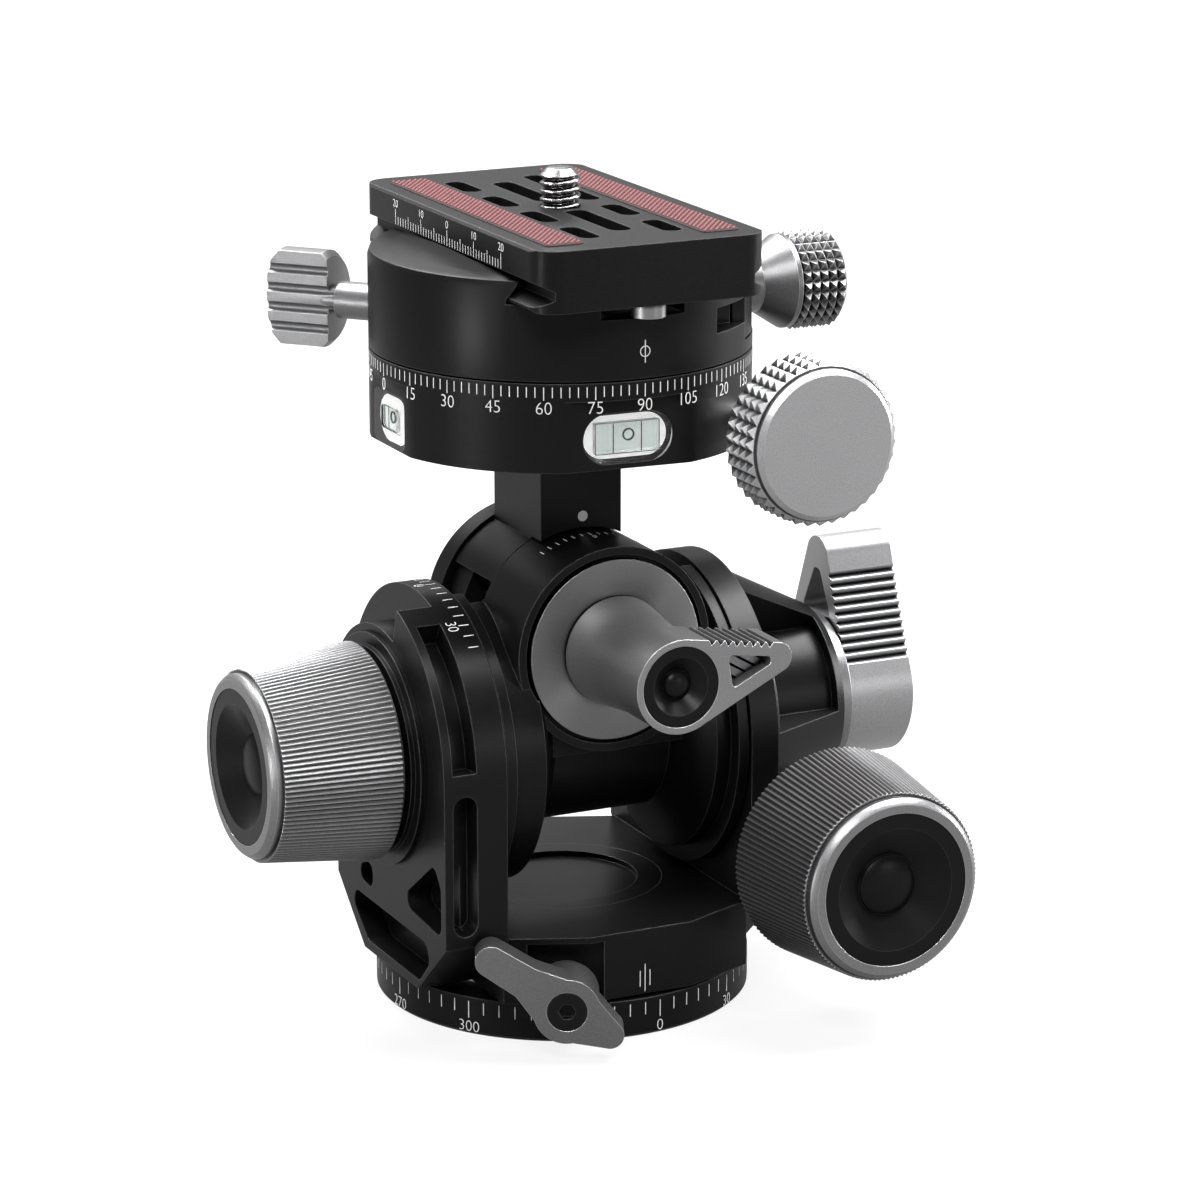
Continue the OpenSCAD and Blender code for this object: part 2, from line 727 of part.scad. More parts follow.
module yoke() {
    color(black) difference() {
        union() {
            translate([0, 0, yoke_z]) linear_extrude(floor_z - yoke_z)
                polygon([for (s = [[-1, -1], [1, -1], [1, 1], [-1, 1]]) let(
                    a = [s[0] * floor_facet, s[1] * floor_front],
                    b = [s[0] * floor_side_x, s[1] * floor_side_y]) each (s[0] * s[1] > 0 ? [b, a] : [a, b])]);
            slab_x(arm_in, band_x) arm_outline();
            slab_x(-band_x, -arm_in) arm_outline();
            slab_x(-lattice_x, -band_x) lattice_outline();
        }
        rod_z(pivot_r + play, yoke_z - over, web_z + over);
        rod_z(retainer_r + gap, web_z, floor_z + over);
        rod_z(cap_r + seat, floor_z - cap_t, floor_z + over);
        at_tilt() rod_x(bush_r + seat, -lattice_x - over, band_x + over);
        lattice_pockets();
        front_slots();
        at_lock() {
            block([-lock_pocket_w / 2, -base_r - 2 * over, -lock_z], [lock_pocket_w / 2, -lock_face, lock_pocket_z - lock_z]);
            rod_y(shoe_r + play, -lock_face - over, -pivot_r);
        }
    }
}
module floor_cap() {
    color(black) difference() {
        rod_z(cap_r, floor_z - cap_t, floor_z);
        rod_z(cap_recess_r, floor_z - cap_recess, floor_z + over);
    }
}
module pan_brake_shoe() {
    color(brass) at_lock() difference() {
        rod_y(shoe_r, -pivot_r - gap - shoe_l, -pivot_r - gap);
        rod_y(lock_screw_r + seat, -pivot_r - gap - shoe_l - over, -pivot_r - gap - shoe_l / 2);
    }
}

// Pan lock: an S-shaped lever on a cap screw
module pan_lock_outline() {
    way = [-lever_arm_x, lever_arm_z];
    waist = way * lever_waist_share + [0, gap];
    tangent_bar(lever_hub_r - gap, lever_waist_r, waist);
    translate(waist) tangent_bar(lever_waist_r, lever_tip_r, way - waist);
    tangent_bar(lever_hub_r - gap, lever_tail_r, [lever_tail_x, -lever_tail_z]);
}
module pan_lock_lever() {
    color(grey) at_lock() difference() {
        union() {
            slab_y(-lever_back - lever_depth, -lever_arm_back) pan_lock_outline();
            rod_y(lever_hub_r, -lever_back - lever_depth, -lever_back);
            rod_y(lever_boss_r, -lever_back, -lock_face - gap);
        }
        rod_y(lock_screw_r + seat, -lever_back - lever_depth - over, -lock_face + over);
        rod_y(lever_head_r + seat, -lever_back - lever_depth - over, -lever_back - lever_depth + lever_head_t);
    }
}
module pan_lock_screw() {
    head = -lever_back - lever_depth;
    color(black) at_lock() difference() {
        union() {
            rod_y(lever_head_r, head, head + lever_head_t);
            rod_y(lock_screw_r, head + gap, -pivot_r - gap - shoe_l / 2 - gap);
        }
        translate([0, head - over, 0]) rotate([-90, 0, 0]) cylinder(r = lever_head_r * 0.42, h = over + lever_head_t / 2, $fn = 6);
    }
}

// Tilt: bushes, housing, worm, wheel and clutch on the right arm
module trunnion_bushes() {
    color(brass) at_tilt() {
        ring_x(trunnion_r + play, bush_r, arm_in, band_x);
        ring_x(trunnion_r + play, bush_r, -lattice_x, -arm_in);
    }
}
module tilt_gear_housing() {
    color(black) difference() {
        union() {
            at_tilt() {
                cone_x(housing_root_r, housing_r, band_x, housing_x);
            }
            at_tilt_worm() rod_y(worm_house_r, -worm_house_y, worm_house_back);
        }
        at_tilt() {
            rod_x(wheel_r + gap, band_x - over, wheel_out_x + clutch_t + gap);
            rod_x(stud_r + play, band_x, ring_x + over);
            difference() {
                slab_x(band_x + housing_wall, housing_x - housing_wall) polygon([[0, 0],
                    each 2 * arc_pts(housing_root_r, 180 - window_low, 180 - window_high, round_steps)]);
                rod_x(wheel_r + gap + housing_wall / 2, band_x, housing_x);
            }
        }
        at_tilt_worm() rod_y(worm_hole_r, -worm_house_y - over, worm_house_back - housing_wall);
        block([0, -worm_house_y - over, 0], [band_x, worm_house_back + over, tilt_z + arm_r]);
    }
}
module tilt_clutch_ring() {
    color(grey) at_tilt() ring_x(stud_r + play, ring_r, housing_x, ring_x);
}
module tilt_worm_bushes() {
    color(brass) at_tilt_worm() {
        ring_y(shaft_r + play, worm_hole_r, -worm_house_y, -worm_house_y + worm_bush_l);
        ring_y(shaft_r + play, worm_hole_r, worm_house_back - housing_wall - worm_bush_l, worm_house_back - housing_wall);
    }
}
module worm(half) {
    cylinder(r = worm_root_r, h = 2 * half, center = true);
    thread(half, worm_r, worm_root_r, worm_pitch);
}
module tilt_worm() {
    back = worm_house_back - housing_wall - gap;
    color(steel) at_tilt_worm() {
        rotate([90, 0, 0]) worm(roll_worm_half);
        rod_y(shaft_r, -tilt_knob_y - knob_len + cap_seat + gap, back);
    }
}
module tilt_knob() {
    color(grey) at_tilt_worm() translate([0, -tilt_knob_y, 0]) rotate([90, 0, 0]) fluted_knob();
}
module knob_cap() {
    end_cap(knob_cap_r, cap_ring_r, cap_dome_r, cap_dish, cap_seat - gap / 3, cap_dome_h);
}
module tilt_knob_cap() {
    color(black) at_tilt_worm() translate([0, -tilt_knob_y - knob_len + cap_seat, 0]) rotate([90, 0, 0]) knob_cap();
}
module tilt_worm_wheel() {
    color(brass) at_tilt() difference() {
        union() {
            translate([wheel_in_x, 0, 0]) rotate([90, 0, 90]) linear_extrude(wheel_w)
                gear_outline(wheel_r, tooth_depth, wheel_teeth);
            rod_x(wheel_hub_r, band_x + gap, wheel_in_x + over);
        }
        rod_x(stub_r + seat, band_x - over, wheel_out_x + over);
    }
}
module tilt_clutch_plate() {
    color(steel) at_tilt() difference() {
        rod_x(clutch_r, wheel_out_x, wheel_out_x + clutch_t);
        rod_x(stud_r + play, wheel_out_x - over, wheel_out_x + clutch_t + over);
    }
}
module tilt_lock_stud() {
    color(steel) at_tilt() rod_x(stud_r, wheel_out_x + clutch_t + gap, tilt_lever_out - cap_depth - gap);
}
module tilt_lock_lever() {
    color(grey) at_tilt() difference() {
        translate([tilt_lever_x, 0, 0]) rotate([90, 0, 90])
            lever_arm(tilt_lever_r, tilt_tip_r, [0, tilt_arm_reach], tilt_arm_t, lever_ribs, [0.1, 0.86]);
        rod_x(stud_r + seat, tilt_lever_x - over, tilt_lever_out + over);
        rod_x(tilt_lever_r - window_wall, tilt_lever_out - cap_depth, tilt_lever_out + over);
    }
}
module tilt_lock_cap() {
    r = tilt_lever_r - window_wall - seat;
    color(black) at_tilt() translate([tilt_lever_out - cap_depth, 0, 0]) rotate([0, 90, 0])
        end_cap(r, 0.8 * r, 0.42 * r, 0.7 * cap_depth, cap_depth - gap / 3, 0.3 * cap_depth);
}

// Cross body: the tube on the tilt axis and the barrel on the roll axis
module cross_body() {
    color(black) difference() {
        union() {
            at_tilt() {
                lathe_x([[0, -body_x], [flange_r, -body_x], [flange_r, -body_x + flange_t],
                    [step_r + over, -body_x + flange_t], [step_r + over, -left_step_x], [tube_r, -left_cone_x],
                    [tube_r, right_cone_x], [step_r, step_x], [step_r, body_x - flange_t],
                    [flange_r, body_x - flange_t], [flange_r, body_x], [0, body_x]]);
                rod_x(trunnion_r, -trunnion_x, band_x + gap);
                rod_x(stub_r, band_x, wheel_out_x);
            }
            at_roll() {
                rod_y(barrel_r, -barrel_front, slot_back);
                rod_y(rear_r, slot_back, barrel_back);
            }
            block([-cheek_half, -barrel_front + 3 * over, tilt_z], [cheek_half, barrel_back - over, roll_z]);
        }
        at_roll() {
            rod_y(roll_bush_r + seat, -barrel_front + cover_t, barrel_back + over);
            rod_y(cover_r + cover_groove, -barrel_front - over, -barrel_front + cover_t);
            rod_y(hub_r + gap, -slot_front, slot_back);
            rod_y(rear_cover_r + seat, barrel_back - cover_t, barrel_back + over);
            slab_y(-slot_front, slot_back)
                polygon([[0, 0], each 2 * arc_pts(barrel_r, 90 + barrel_open, 90 - barrel_open, 8)]);
        }
        at_tilt() {
            rod_x(worm_hole_r, -trunnion_x - over, worm_cavity_x);
            rod_x(stud_r + seat, wheel_in_x, wheel_out_x + over);
        }
    }
}
module front_cover() {
    color(black) at_roll() difference() {
        rod_y(cover_r, -barrel_front - gap, -barrel_front + cover_t);
        rod_y(stud_r + play, -barrel_front - over, -barrel_front + cover_t + over);
    }
}
module rear_cover() {
    color(black) at_roll() rod_y(rear_cover_r, barrel_back - cover_t, barrel_back);
}
module roll_bushes() {
    color(brass) at_roll() {
        ring_y(roll_shaft_r + play, roll_bush_r, -barrel_front + cover_t, -slot_front);
        ring_y(roll_shaft_r + play, roll_bush_r, slot_back, barrel_back - cover_t);
    }
}
module roll_worm_bushes() {
    color(brass) at_tilt() {
        ring_x(shaft_r + play, worm_hole_r, -trunnion_x, -trunnion_x + worm_bush_l);
        ring_x(shaft_r + play, worm_hole_r, worm_cavity_x - worm_bush_l, worm_cavity_x);
    }
}
module roll_worm() {
    color(steel) at_tilt() {
        rotate([0, 90, 0]) worm(roll_worm_half - over);
        rod_x(shaft_r, -roll_knob_x - knob_len + cap_seat + gap, worm_cavity_x - gap);
    }
}
module roll_knob() {
    color(grey) at_tilt() translate([-roll_knob_x, 0, 0]) rotate([0, -90, 0]) fluted_knob();
}
module roll_knob_collar() {
    mid = (lattice_x + roll_knob_x) / 2 - gap;
    color(black) at_tilt() {
        ring_x(trunnion_r + gap, collar_r - collar_step, -mid, -lattice_x);
        ring_x(trunnion_r + gap, collar_r - 2.5 * collar_step, -roll_knob_x + 2 * gap, -mid);
    }
}
module roll_knob_cap() {
    color(black) at_tilt() translate([-roll_knob_x - knob_len + cap_seat, 0, 0]) rotate([0, -90, 0]) knob_cap();
}

// Roll clutch: the long-hubbed lever in front
module roll_lock_lever() {
    back = barrel_front + 2 * gap;
    face = back + roll_lever_len;
    color(grey) at_roll() difference() {
        union() {
            lathe_front([[0, back], [roll_lever_root_r, back], [roll_lever_r, back + roll_lever_len / 2],
                [roll_lever_r, face], [0, face]]);
            translate([0, roll_arm_t - face, 0]) rotate([90, 0, 0])
                lever_arm(roll_lever_r, roll_tip_r, [roll_arm_reach, roll_arm_rise], roll_arm_t, roll_ribs, [0.22, 0.94], 3);
        }
        rod_y(stud_r + seat, -face - over, -back + over);
        rod_y(roll_lever_r - window_wall / 2, -face - over, -face + cap_depth);
    }
}
module roll_lock_cap() {
    face = barrel_front + 2 * gap + roll_lever_len;
    r = roll_lever_r - window_wall / 2 - seat;
    color(black) at_roll() translate([0, cap_depth - face, 0]) rotate([90, 0, 0])
        end_cap(r, 0.72 * r, 0.36 * r, 0.55 * cap_depth, cap_depth - gap / 3, 0.4 * cap_depth);
}
module roll_lock_stud() {
    face = barrel_front + 2 * gap + roll_lever_len;
    color(steel) at_roll() rod_y(stud_r, -face + cap_depth + gap, -barrel_front + cover_t + gap);
}

// Roll: the hub in the barrel, its neck and the rotator base
module roll_hub() {
    front = -slot_front + gap;
    back = slot_back - gap;
    color(black) difference() {
        union() {
            at_roll() {
                rod_y(hub_r, worm_r, back);
                intersection() {
                    ring_y(wheel_r + gap, barrel_r - seat, front, back);
                    slab_y(front, back) polygon([[0, 0], each 2 * arc_pts(barrel_r, 90 + drum_half, 90 - drum_half, 8)]);
                }
                rod_y(roll_shaft_r, -barrel_front + cover_t + 3 * gap, barrel_back - cover_t - gap);
            }
            block([-neck_half, front, roll_z], [neck_half, neck_back, rotator_z]);
            difference() {
                block([-neck_half, -neck_front, roll_z], [neck_half, front + over, rotator_z]);
                at_roll() rod_y(neck_arc_r, -neck_front - over, front);
            }
        }
        at_roll() ring_y(roll_shaft_r, wheel_r + gap, front - over, worm_r);
        at_roll() rod_y(stud_r + play, -barrel_front, -barrel_front + cover_t + 4 * gap);
    }
}
module roll_worm_wheel() {
    color(brass) at_roll() difference() {
        translate([0, worm_r, 0]) rotate([90, 0, 0]) linear_extrude(worm_r + slot_front - gap)
            gear_outline(wheel_r, tooth_depth, wheel_teeth);
        rod_y(roll_shaft_r + seat, -slot_front - over, worm_r + over);
    }
}
module at_front_level() rotate([0, 0, -flat_front_turn]) translate([0, -flat_front, level_z]) children();
module at_left_level() translate([-flat_left, level_left_y, level_left_z]) rotate([0, 0, -90]) children();
module stadium(r, half) {
    for (s = [-1, 1]) translate([s * (half - r), 0]) circle(r = r);
    square([2 * (half - r), 2 * r], center = true);
}
module rotator_base() {
    cup_r = spindle_r + bearing_w;
    color(black) difference() {
        union() {
            rod_z(rotator_r, rotator_z, joint_z - gap / 2);
            at_pan_worm() rod_y(pan_boss_r, -pan_boss_y - pan_boss_r - over, -pan_boss_y + pan_boss_r);
        }
        rod_z(cup_r + seat, rotator_z + rotator_floor, joint_z + over);
        rotate([0, 0, -flat_front_turn]) block([-rotator_r, -rotator_r - over, rotator_z - over],
            [rotator_r, -flat_front, joint_z - 3 * over]);
        block([-rotator_r - over, -rotator_r, rotator_z - over], [-flat_left, rotator_r, joint_z - 3 * over]);
        at_front_level() slab_y(-over, level_depth) stadium(level_r, level_half);
        at_left_level() slab_y(-over, level_left_depth)
            polygon(rounded(box_pts(level_left_w, level_left_h), level_corner));
        at_pan_worm() {
            rod_y(pan_worm_r + gap, -pan_pocket_half, pan_pocket_half);
            rod_y(pan_shaft_r + over, -rotator_r, -pan_pocket_half + over);
        }
    }
}
module front_level() {
    color(clear) at_front_level() difference() {
        slab_y(0, level_depth) stadium(level_r - seat, level_half - seat);
        block([-vial_l / 2 - seat, -over, -vial_h / 2 - seat], [vial_l / 2 + seat, vial_d + vial_inset, vial_h / 2 + seat]);
    }
}
module front_level_vial() {
    color("#9fb7a0") at_front_level() block([-vial_l / 2, vial_inset, -vial_h / 2], [vial_l / 2, vial_inset + vial_d, vial_h / 2]);
}
module left_level() {
    color(clear) at_left_level() difference() {
        slab_y(0, level_left_depth)
            polygon(rounded(box_pts(level_left_w - 2 * seat, level_left_h - 2 * seat), level_corner));
        rotate([90, 0, 0]) translate([0, 0, -vial_d - vial_inset]) linear_extrude(vial_d + vial_inset + over)
            polygon(rounded(box_pts(vial_left_l + 2 * seat, vial_left_h + 2 * seat), window_r));
    }
}
module left_level_vial() {
    color("#9fb7a0") at_left_level() rotate([90, 0, 0]) translate([0, 0, -vial_d - vial_inset])
        linear_extrude(vial_d) polygon(rounded(box_pts(vial_left_l, vial_left_h), window_r));
}
module pan_worm_bush() {
    color(brass) at_pan_worm() ring_y(pan_shaft_r + play, pan_shaft_r + over, -pan_boss_y - pan_boss_r - over, -pan_pocket_half);
}
module pan_worm() {
    pitch = 2 * PI * pan_wheel_r / pan_wheel_teeth;
    color(steel) at_pan_worm() {
        rotate([90, 0, 0]) thread(pan_worm_half, pan_worm_r, pan_shaft_r, pitch);
        rod_y(pan_shaft_r, -pan_knob_y + 3 * over, pan_pocket_half - gap);
    }
}
module pan_knob() {
    back = pan_knob_y - pan_knob_len;
    band = pan_knob_len - pan_back_l - pan_bevel;
    color(grey) at_pan_worm() difference() {
        union() {
            translate([0, -back - pan_back_l, 0]) rotate([90, 0, 0]) pyramid_band(pan_knob_r, band, pan_rows, pan_count);
            lathe_front([[0, back], [pan_knob_r - 2 * pan_bevel, back], [pan_knob_r - pan_bevel, back + pan_bevel],
                [pan_knob_r - pan_bevel, pan_knob_y - pan_bevel / 2], [pan_knob_r - 1.6 * pan_bevel, pan_knob_y],
                [0, pan_knob_y]]);
        }
        rod_y(pan_shaft_r + seat, -pan_knob_y + 2 * over, -back + over);
    }
}

// Turret: the upper body with its fixed jaw, and what it carries inside
module turret() {
    color(black) difference() {
        rotate_extrude() polygon([[0, joint_z + gap / 2], [rotator_r, joint_z + gap / 2], [rotator_r, turret_rim_z],
            [rotator_r - turret_edge_r / 4, turret_rim_z + turret_edge_r * 0.7],
            [rotator_r - turret_edge_r, turret_rim_z + turret_edge_r], [jaw_x, turret_crown_z], [0, turret_crown_z]]);
        block([-plate_half - gap + jaw_lip, -rotator_r - over, channel_z], [rotator_r + over, rotator_r + over, turret_crown_z + over]);
        slab_y(-rotator_r - over, rotator_r + over) polygon([[-jaw_x - gap / 2, channel_z], [0, channel_z],
            [0, turret_crown_z + over], [-jaw_x, turret_crown_z + over], [-jaw_x, groove_z - gap / 2],
            [-jaw_x + jaw_lip - gap, groove_z - groove_h / 2], [-jaw_x - gap / 2, channel_z + 2 * gap]]);
        block([jaw_x - gap, -jaw_half - gap, jaw_floor_z], [rotator_r + over, jaw_half + gap, channel_z + over]);
        for (s = [-1, 1]) block([jaw_notch_x, s > 0 ? jaw_half : -rotator_r - over, jaw_notch_z - jaw_notch_h],
            [rotator_r + over, s > 0 ? rotator_r + over : -jaw_half, jaw_notch_z]);
        for (s = [-1, 1]) block([-stop_slot_half, s > 0 ? stop_slot_end : -rotator_r - over, stop_slot_z],
            [stop_slot_half, s > 0 ? rotator_r + over : -stop_slot_end, channel_z + over]);
        at_clamp() {
            rod_x(clamp_screw_r + play, clamp_screw_in - over, rotator_r);
            for (s = [-1, 1]) translate([0, s * pin_y, 0]) rod_x(pin_r + seat, pin_in, rotator_r);
            for (s = [-1, 1]) translate([0, s * spring_y, 0]) rod_x(spring_r + gap, spring_in, rotator_r);
        }
        rod_z(post_r + play, joint_z - over, post_web_z + over);
        rod_z(post_cap_r + gap, post_web_z, channel_z + over);
        at_turret_lock() rod_y(lock_shaft_r + play, -rotator_r - over, -post_r);
    }
}
module rotator_bearing() {
    color(brass) ring_z(spindle_r + play, spindle_r + bearing_w, pan_worm_z + pan_worm_r + gap, joint_z - gap);
}
module turret_worm_wheel() {
    color(brass) difference() {
        union() {
            translate([0, 0, pan_wheel_lo]) linear_extrude(pan_wheel_w) gear_outline(pan_wheel_r, pan_tooth, pan_wheel_teeth);
            rod_z(spindle_r, pan_wheel_hi - over, joint_z + gap / 2);
        }
        rod_z(post_r + play, pan_wheel_lo - over, joint_z + over);
    }
}
module turret_post() {
    color(steel) difference() {
        rod_z(post_r, rotator_z + rotator_floor, post_web_z + gap);
        rod_z(post_screw_r + seat, post_web_z + gap - post_screw_l, post_web_z + gap + over);
    }
}
module post_cap() {
    color(steel) difference() {
        rod_z(post_cap_r, post_web_z + gap, post_web_z + gap + post_cap_t);
        rod_z(post_screw_r + seat, post_web_z, post_web_z + gap + post_cap_t + over);
    }
}
module post_screw() {
    seat_z = post_web_z + gap + post_cap_t;
    color(black) difference() {
        union() {
            rod_z(post_screw_head, seat_z, seat_z + post_screw_t);
            rod_z(post_screw_r, post_web_z + 2 * gap - post_screw_l, seat_z + gap);
        }
        translate([0, 0, seat_z + gap]) cylinder(r = post_screw_r, h = post_screw_t + over, $fn = 6);
    }
}
module turret_brake_shoe() {
    color(brass) at_turret_lock() rod_y(lock_shaft_r, -post_r - gap - shoe_l, -post_r - gap);
}
module turret_lock_knob() {
    color(grey) at_turret_lock() difference() {
        union() {
            rod_y(lock_shaft_r, -paddle_in + paddle_neck, -post_r - 2 * gap - shoe_l);
            rod_y(paddle_neck_r, -paddle_in - over, -paddle_in + paddle_neck + over);
            intersection() {
                lathe_front([[0, paddle_in], [paddle_r - paddle_edge, paddle_in], [paddle_r, paddle_in + paddle_edge],
                    [paddle_r, paddle_out - paddle_dome], [paddle_r * 0.8, paddle_out - paddle_dome * 0.38],
                    [paddle_r * 0.5, paddle_out - paddle_dome * 0.1], [0, paddle_out]]);
                block([-paddle_r - over, -paddle_out - over, -paddle_r - over], [paddle_flat, -paddle_in + over, paddle_r + over]);
            }
        }
        for (i = [0:paddle_grooves - 1])
            translate([paddle_flat + 0.4 * paddle_groove_r, 0, (i - (paddle_grooves - 1) / 2) * 2 * paddle_r / (paddle_grooves + 1)])
                rod_y(paddle_groove_r, -paddle_out - over, -paddle_in + over);
    }
}

// Clamp: the sliding jaw, its guides, springs, screw and knob
module clamp_jaw() {
    color(black) difference() {
        intersection() {
            rod_z(jaw_r, jaw_floor_z, turret_crown_z + over);
            slab_y(-jaw_half, jaw_half) polygon([[jaw_x + gap / 2, jaw_floor_z + gap],
                [rotator_r, jaw_floor_z + gap], [rotator_r, turret_rim_z],
                [rotator_r - 2 * turret_edge_r, turret_rim_z + turret_edge_r], [jaw_x + turret_edge_r, turret_crown_z],
                [jaw_x + gap, turret_crown_z], [jaw_x - jaw_lip + gap, groove_z - groove_h / 2],
                [jaw_x + gap / 2, channel_z + 2 * gap]]);
        }
        at_clamp() {
            rod_x(clamp_screw_r + gap, jaw_x - over, rotator_r + over);
            for (s = [-1, 1]) translate([0, s * pin_y, 0]) rod_x(pin_r + play, jaw_x - over, rotator_r - 3 * over);
        }
    }
}
module jaw_guide_pins() {
    color(steel) at_clamp() for (s = [-1, 1]) translate([0, s * pin_y, 0]) rod_x(pin_r, pin_in, rotator_r - 2 * jaw_travel);
}
module coil(r, wire, length, turns, steps, sides) {
    n = turns * steps;
    rise = (length - 2 * wire) / n;
    pts = [for (i = [0:n]) for (k = [0:sides - 1]) let(a = i * 360 / steps, b = k * 360 / sides, d = r + wire * cos(b))
        [d * cos(a), d * sin(a), wire + i * rise + wire * sin(b)]];
    walls = [for (i = [0:n - 1]) for (k = [0:sides - 1])
        let(a = i * sides + k, b = i * sides + (k + 1) % sides) each [[b + sides, a + sides, a], [b, b + sides, a]]];
    polyhedron(pts, concat(walls, [[for (k = [sides - 1:-1:0]) k]], [[for (k = [0:sides - 1]) n * sides + k]]));
}
module clamp_springs() {
    color(steel) at_clamp() for (s = [-1, 1]) translate([spring_in + gap / 3, s * spring_y, 0])
        rotate([0, 90, 0]) coil(spring_r - spring_wire, spring_wire, jaw_x - spring_in - gap / 3, spring_turns, coil_steps, coil_sides);
}
module clamp_screw() {
    color(steel) at_clamp() rod_x(clamp_screw_r, clamp_screw_in, clamp_cone_x + clamp_cone_l);
}
module clamp_knob() {
    flat_x = clamp_cone_x + clamp_cone_l + clamp_ring_l + gap;
    end_x = flat_x + clamp_knob_len;
    core_r = clamp_knob_r - 1.3 * pyramid_h;
    color(grey) at_clamp() difference() {
        union() {
            lathe_x([[0, jaw_r + gap], [clamp_neck_r, jaw_r + gap], [clamp_neck_r, clamp_cone_x],
                [clamp_knob_r - pyramid_h / 2, clamp_cone_x + clamp_cone_l], [clamp_knob_r - pyramid_h / 2, flat_x - gap],
                [core_r, flat_x - gap], [core_r, end_x + pyramid_h / 4],
                [core_r - pyramid_h, end_x + pyramid_h / 2], [0, end_x + pyramid_h / 2]]);
            translate([flat_x, 0, 0]) rotate([0, 90, 0]) pyramid_band(clamp_knob_r, clamp_knob_len, clamp_rows, clamp_count);
        }
        rod_x(clamp_screw_r + seat, jaw_r, clamp_cone_x + clamp_cone_l + gap);
    }
}

// Plate: the dovetail plate, its pads and screws
module plate() {
    color(black) difference() {
        intersection() {
            slab_y(-plate_l / 2, plate_l / 2) polygon([for (s = [1, -1]) each (s > 0 ? plate_side() :
                [for (i = [len(plate_side()) - 1:-1:0]) [-plate_side()[i][0], plate_side()[i][1]]])]);
            translate([0, 0, plate_z - plate_t - over]) linear_extrude(plate_t + 2 * over)
                polygon(rounded(box_pts(plate_w, plate_l), plate_corner_r));
        }
        for (sx = [-1, 1]) {
            for (i = [-1.5:1:1.5]) translate([sx * small_slot_x, i * small_slot_step, plate_z - plate_t - over])
                rotate([0, 0, 90]) linear_extrude(plate_t + 2 * over) stadium(small_slot_w / 2, small_slot_l / 2);
            translate([sx * pad_x, 0, plate_z - pad_sink]) linear_extrude(pad_sink + over)
                polygon(rounded(box_pts(pad_w + 2 * seat, pad_l + 2 * seat), pad_corner));
        }
        for (sy = [-1, 1]) {
            translate([0, sy * (mid_slot_in + mid_slot_out) / 2, plate_z - plate_t - over]) rotate([0, 0, 90])
                linear_extrude(plate_t + 2 * over) stadium(mid_slot_w / 2, (mid_slot_out - mid_slot_in) / 2);
            translate([0, sy * stop_y, 0]) rod_z(stop_shank_r + seat, plate_z - plate_t - over, plate_z - plate_t + stop_shank);
        }
        rod_z(screw_r + play, plate_z - plate_t - over, plate_z + over);
        rod_z(screw_head_r + gap, plate_z - plate_t - over, plate_z - plate_t + screw_head_t + gap);
    }
}
function plate_side() = [[plate_half - plate_bevel, plate_z - plate_t], [plate_half, plate_z - plate_t + plate_bevel],
    [plate_half, plate_z - plate_t + 2 * plate_bevel], [plate_half - groove_depth, groove_z - groove_h],
    [plate_half - groove_depth, groove_z - groove_h / 2], [plate_half, groove_z],
    [plate_half, plate_z - plate_bevel], [plate_half - plate_bevel, plate_z]];
module plate_pads() {
    color(red) for (s = [-1, 1]) translate([s * pad_x, 0, plate_z - pad_sink]) linear_extrude(pad_t)
        polygon(rounded(box_pts(pad_w, pad_l), pad_corner));
}
module stop_screws() {
    bottom = plate_z - plate_t;
    color(steel) for (s = [-1, 1]) translate([0, s * stop_y, 0]) {
        rod_z(stop_r, bottom - stop_head, bottom);
        rod_z(stop_shank_r, bottom - over, bottom + stop_shank - gap);
    }
}
module camera_screw() {
    bottom = plate_z - plate_t + gap;
    color(steel) difference() {
        rotate_extrude() polygon([[0, bottom], [screw_head_r, bottom], [screw_head_r, bottom + screw_head_t - gap],
            [screw_shank_r, bottom + screw_head_t - gap], [screw_shank_r, plate_z + gap / 3],
            [screw_r, plate_z + gap / 3], [screw_r, plate_z + screw_h - screw_bevel],
            [screw_r - screw_bevel, plate_z + screw_h], [0, plate_z + screw_h]]);
        block([-screw_head_r - over, -screw_slot / 2, bottom - over], [screw_head_r + over, screw_slot / 2, bottom + screw_slot]);
    }
}

base_disc();
pan_washer();
pan_retainer();
retainer_screws();
yoke();
floor_cap();
pan_brake_shoe();
pan_lock_lever();
pan_lock_screw();
trunnion_bushes();
tilt_gear_housing();
tilt_clutch_ring();
tilt_worm_bushes();
tilt_worm();
tilt_knob();
tilt_knob_cap();
tilt_lock_lever();
tilt_lock_cap();
tilt_lock_stud();
cross_body();
front_cover();
rear_cover();
roll_bushes();
tilt_worm_wheel();
tilt_clutch_plate();
roll_worm_bushes();
roll_worm();
roll_knob();
roll_knob_collar();
roll_knob_cap();
roll_lock_lever();
roll_lock_cap();
roll_lock_stud();
roll_hub();
roll_worm_wheel();
rotator_base();
front_level();
front_level_vial();
left_level();
left_level_vial();
pan_worm_bush();
pan_worm();
pan_knob();
turret();
turret_worm_wheel();
turret_post();
rotator_bearing();
post_cap();
post_screw();
turret_brake_shoe();
turret_lock_knob();
clamp_jaw();
jaw_guide_pins();
clamp_springs();
clamp_screw();
clamp_knob();
plate();
plate_pads();
stop_screws();
camera_screw();
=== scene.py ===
"""Geared tripod head: finishes, scales, levels, pads and screw thread over its CAD frame."""

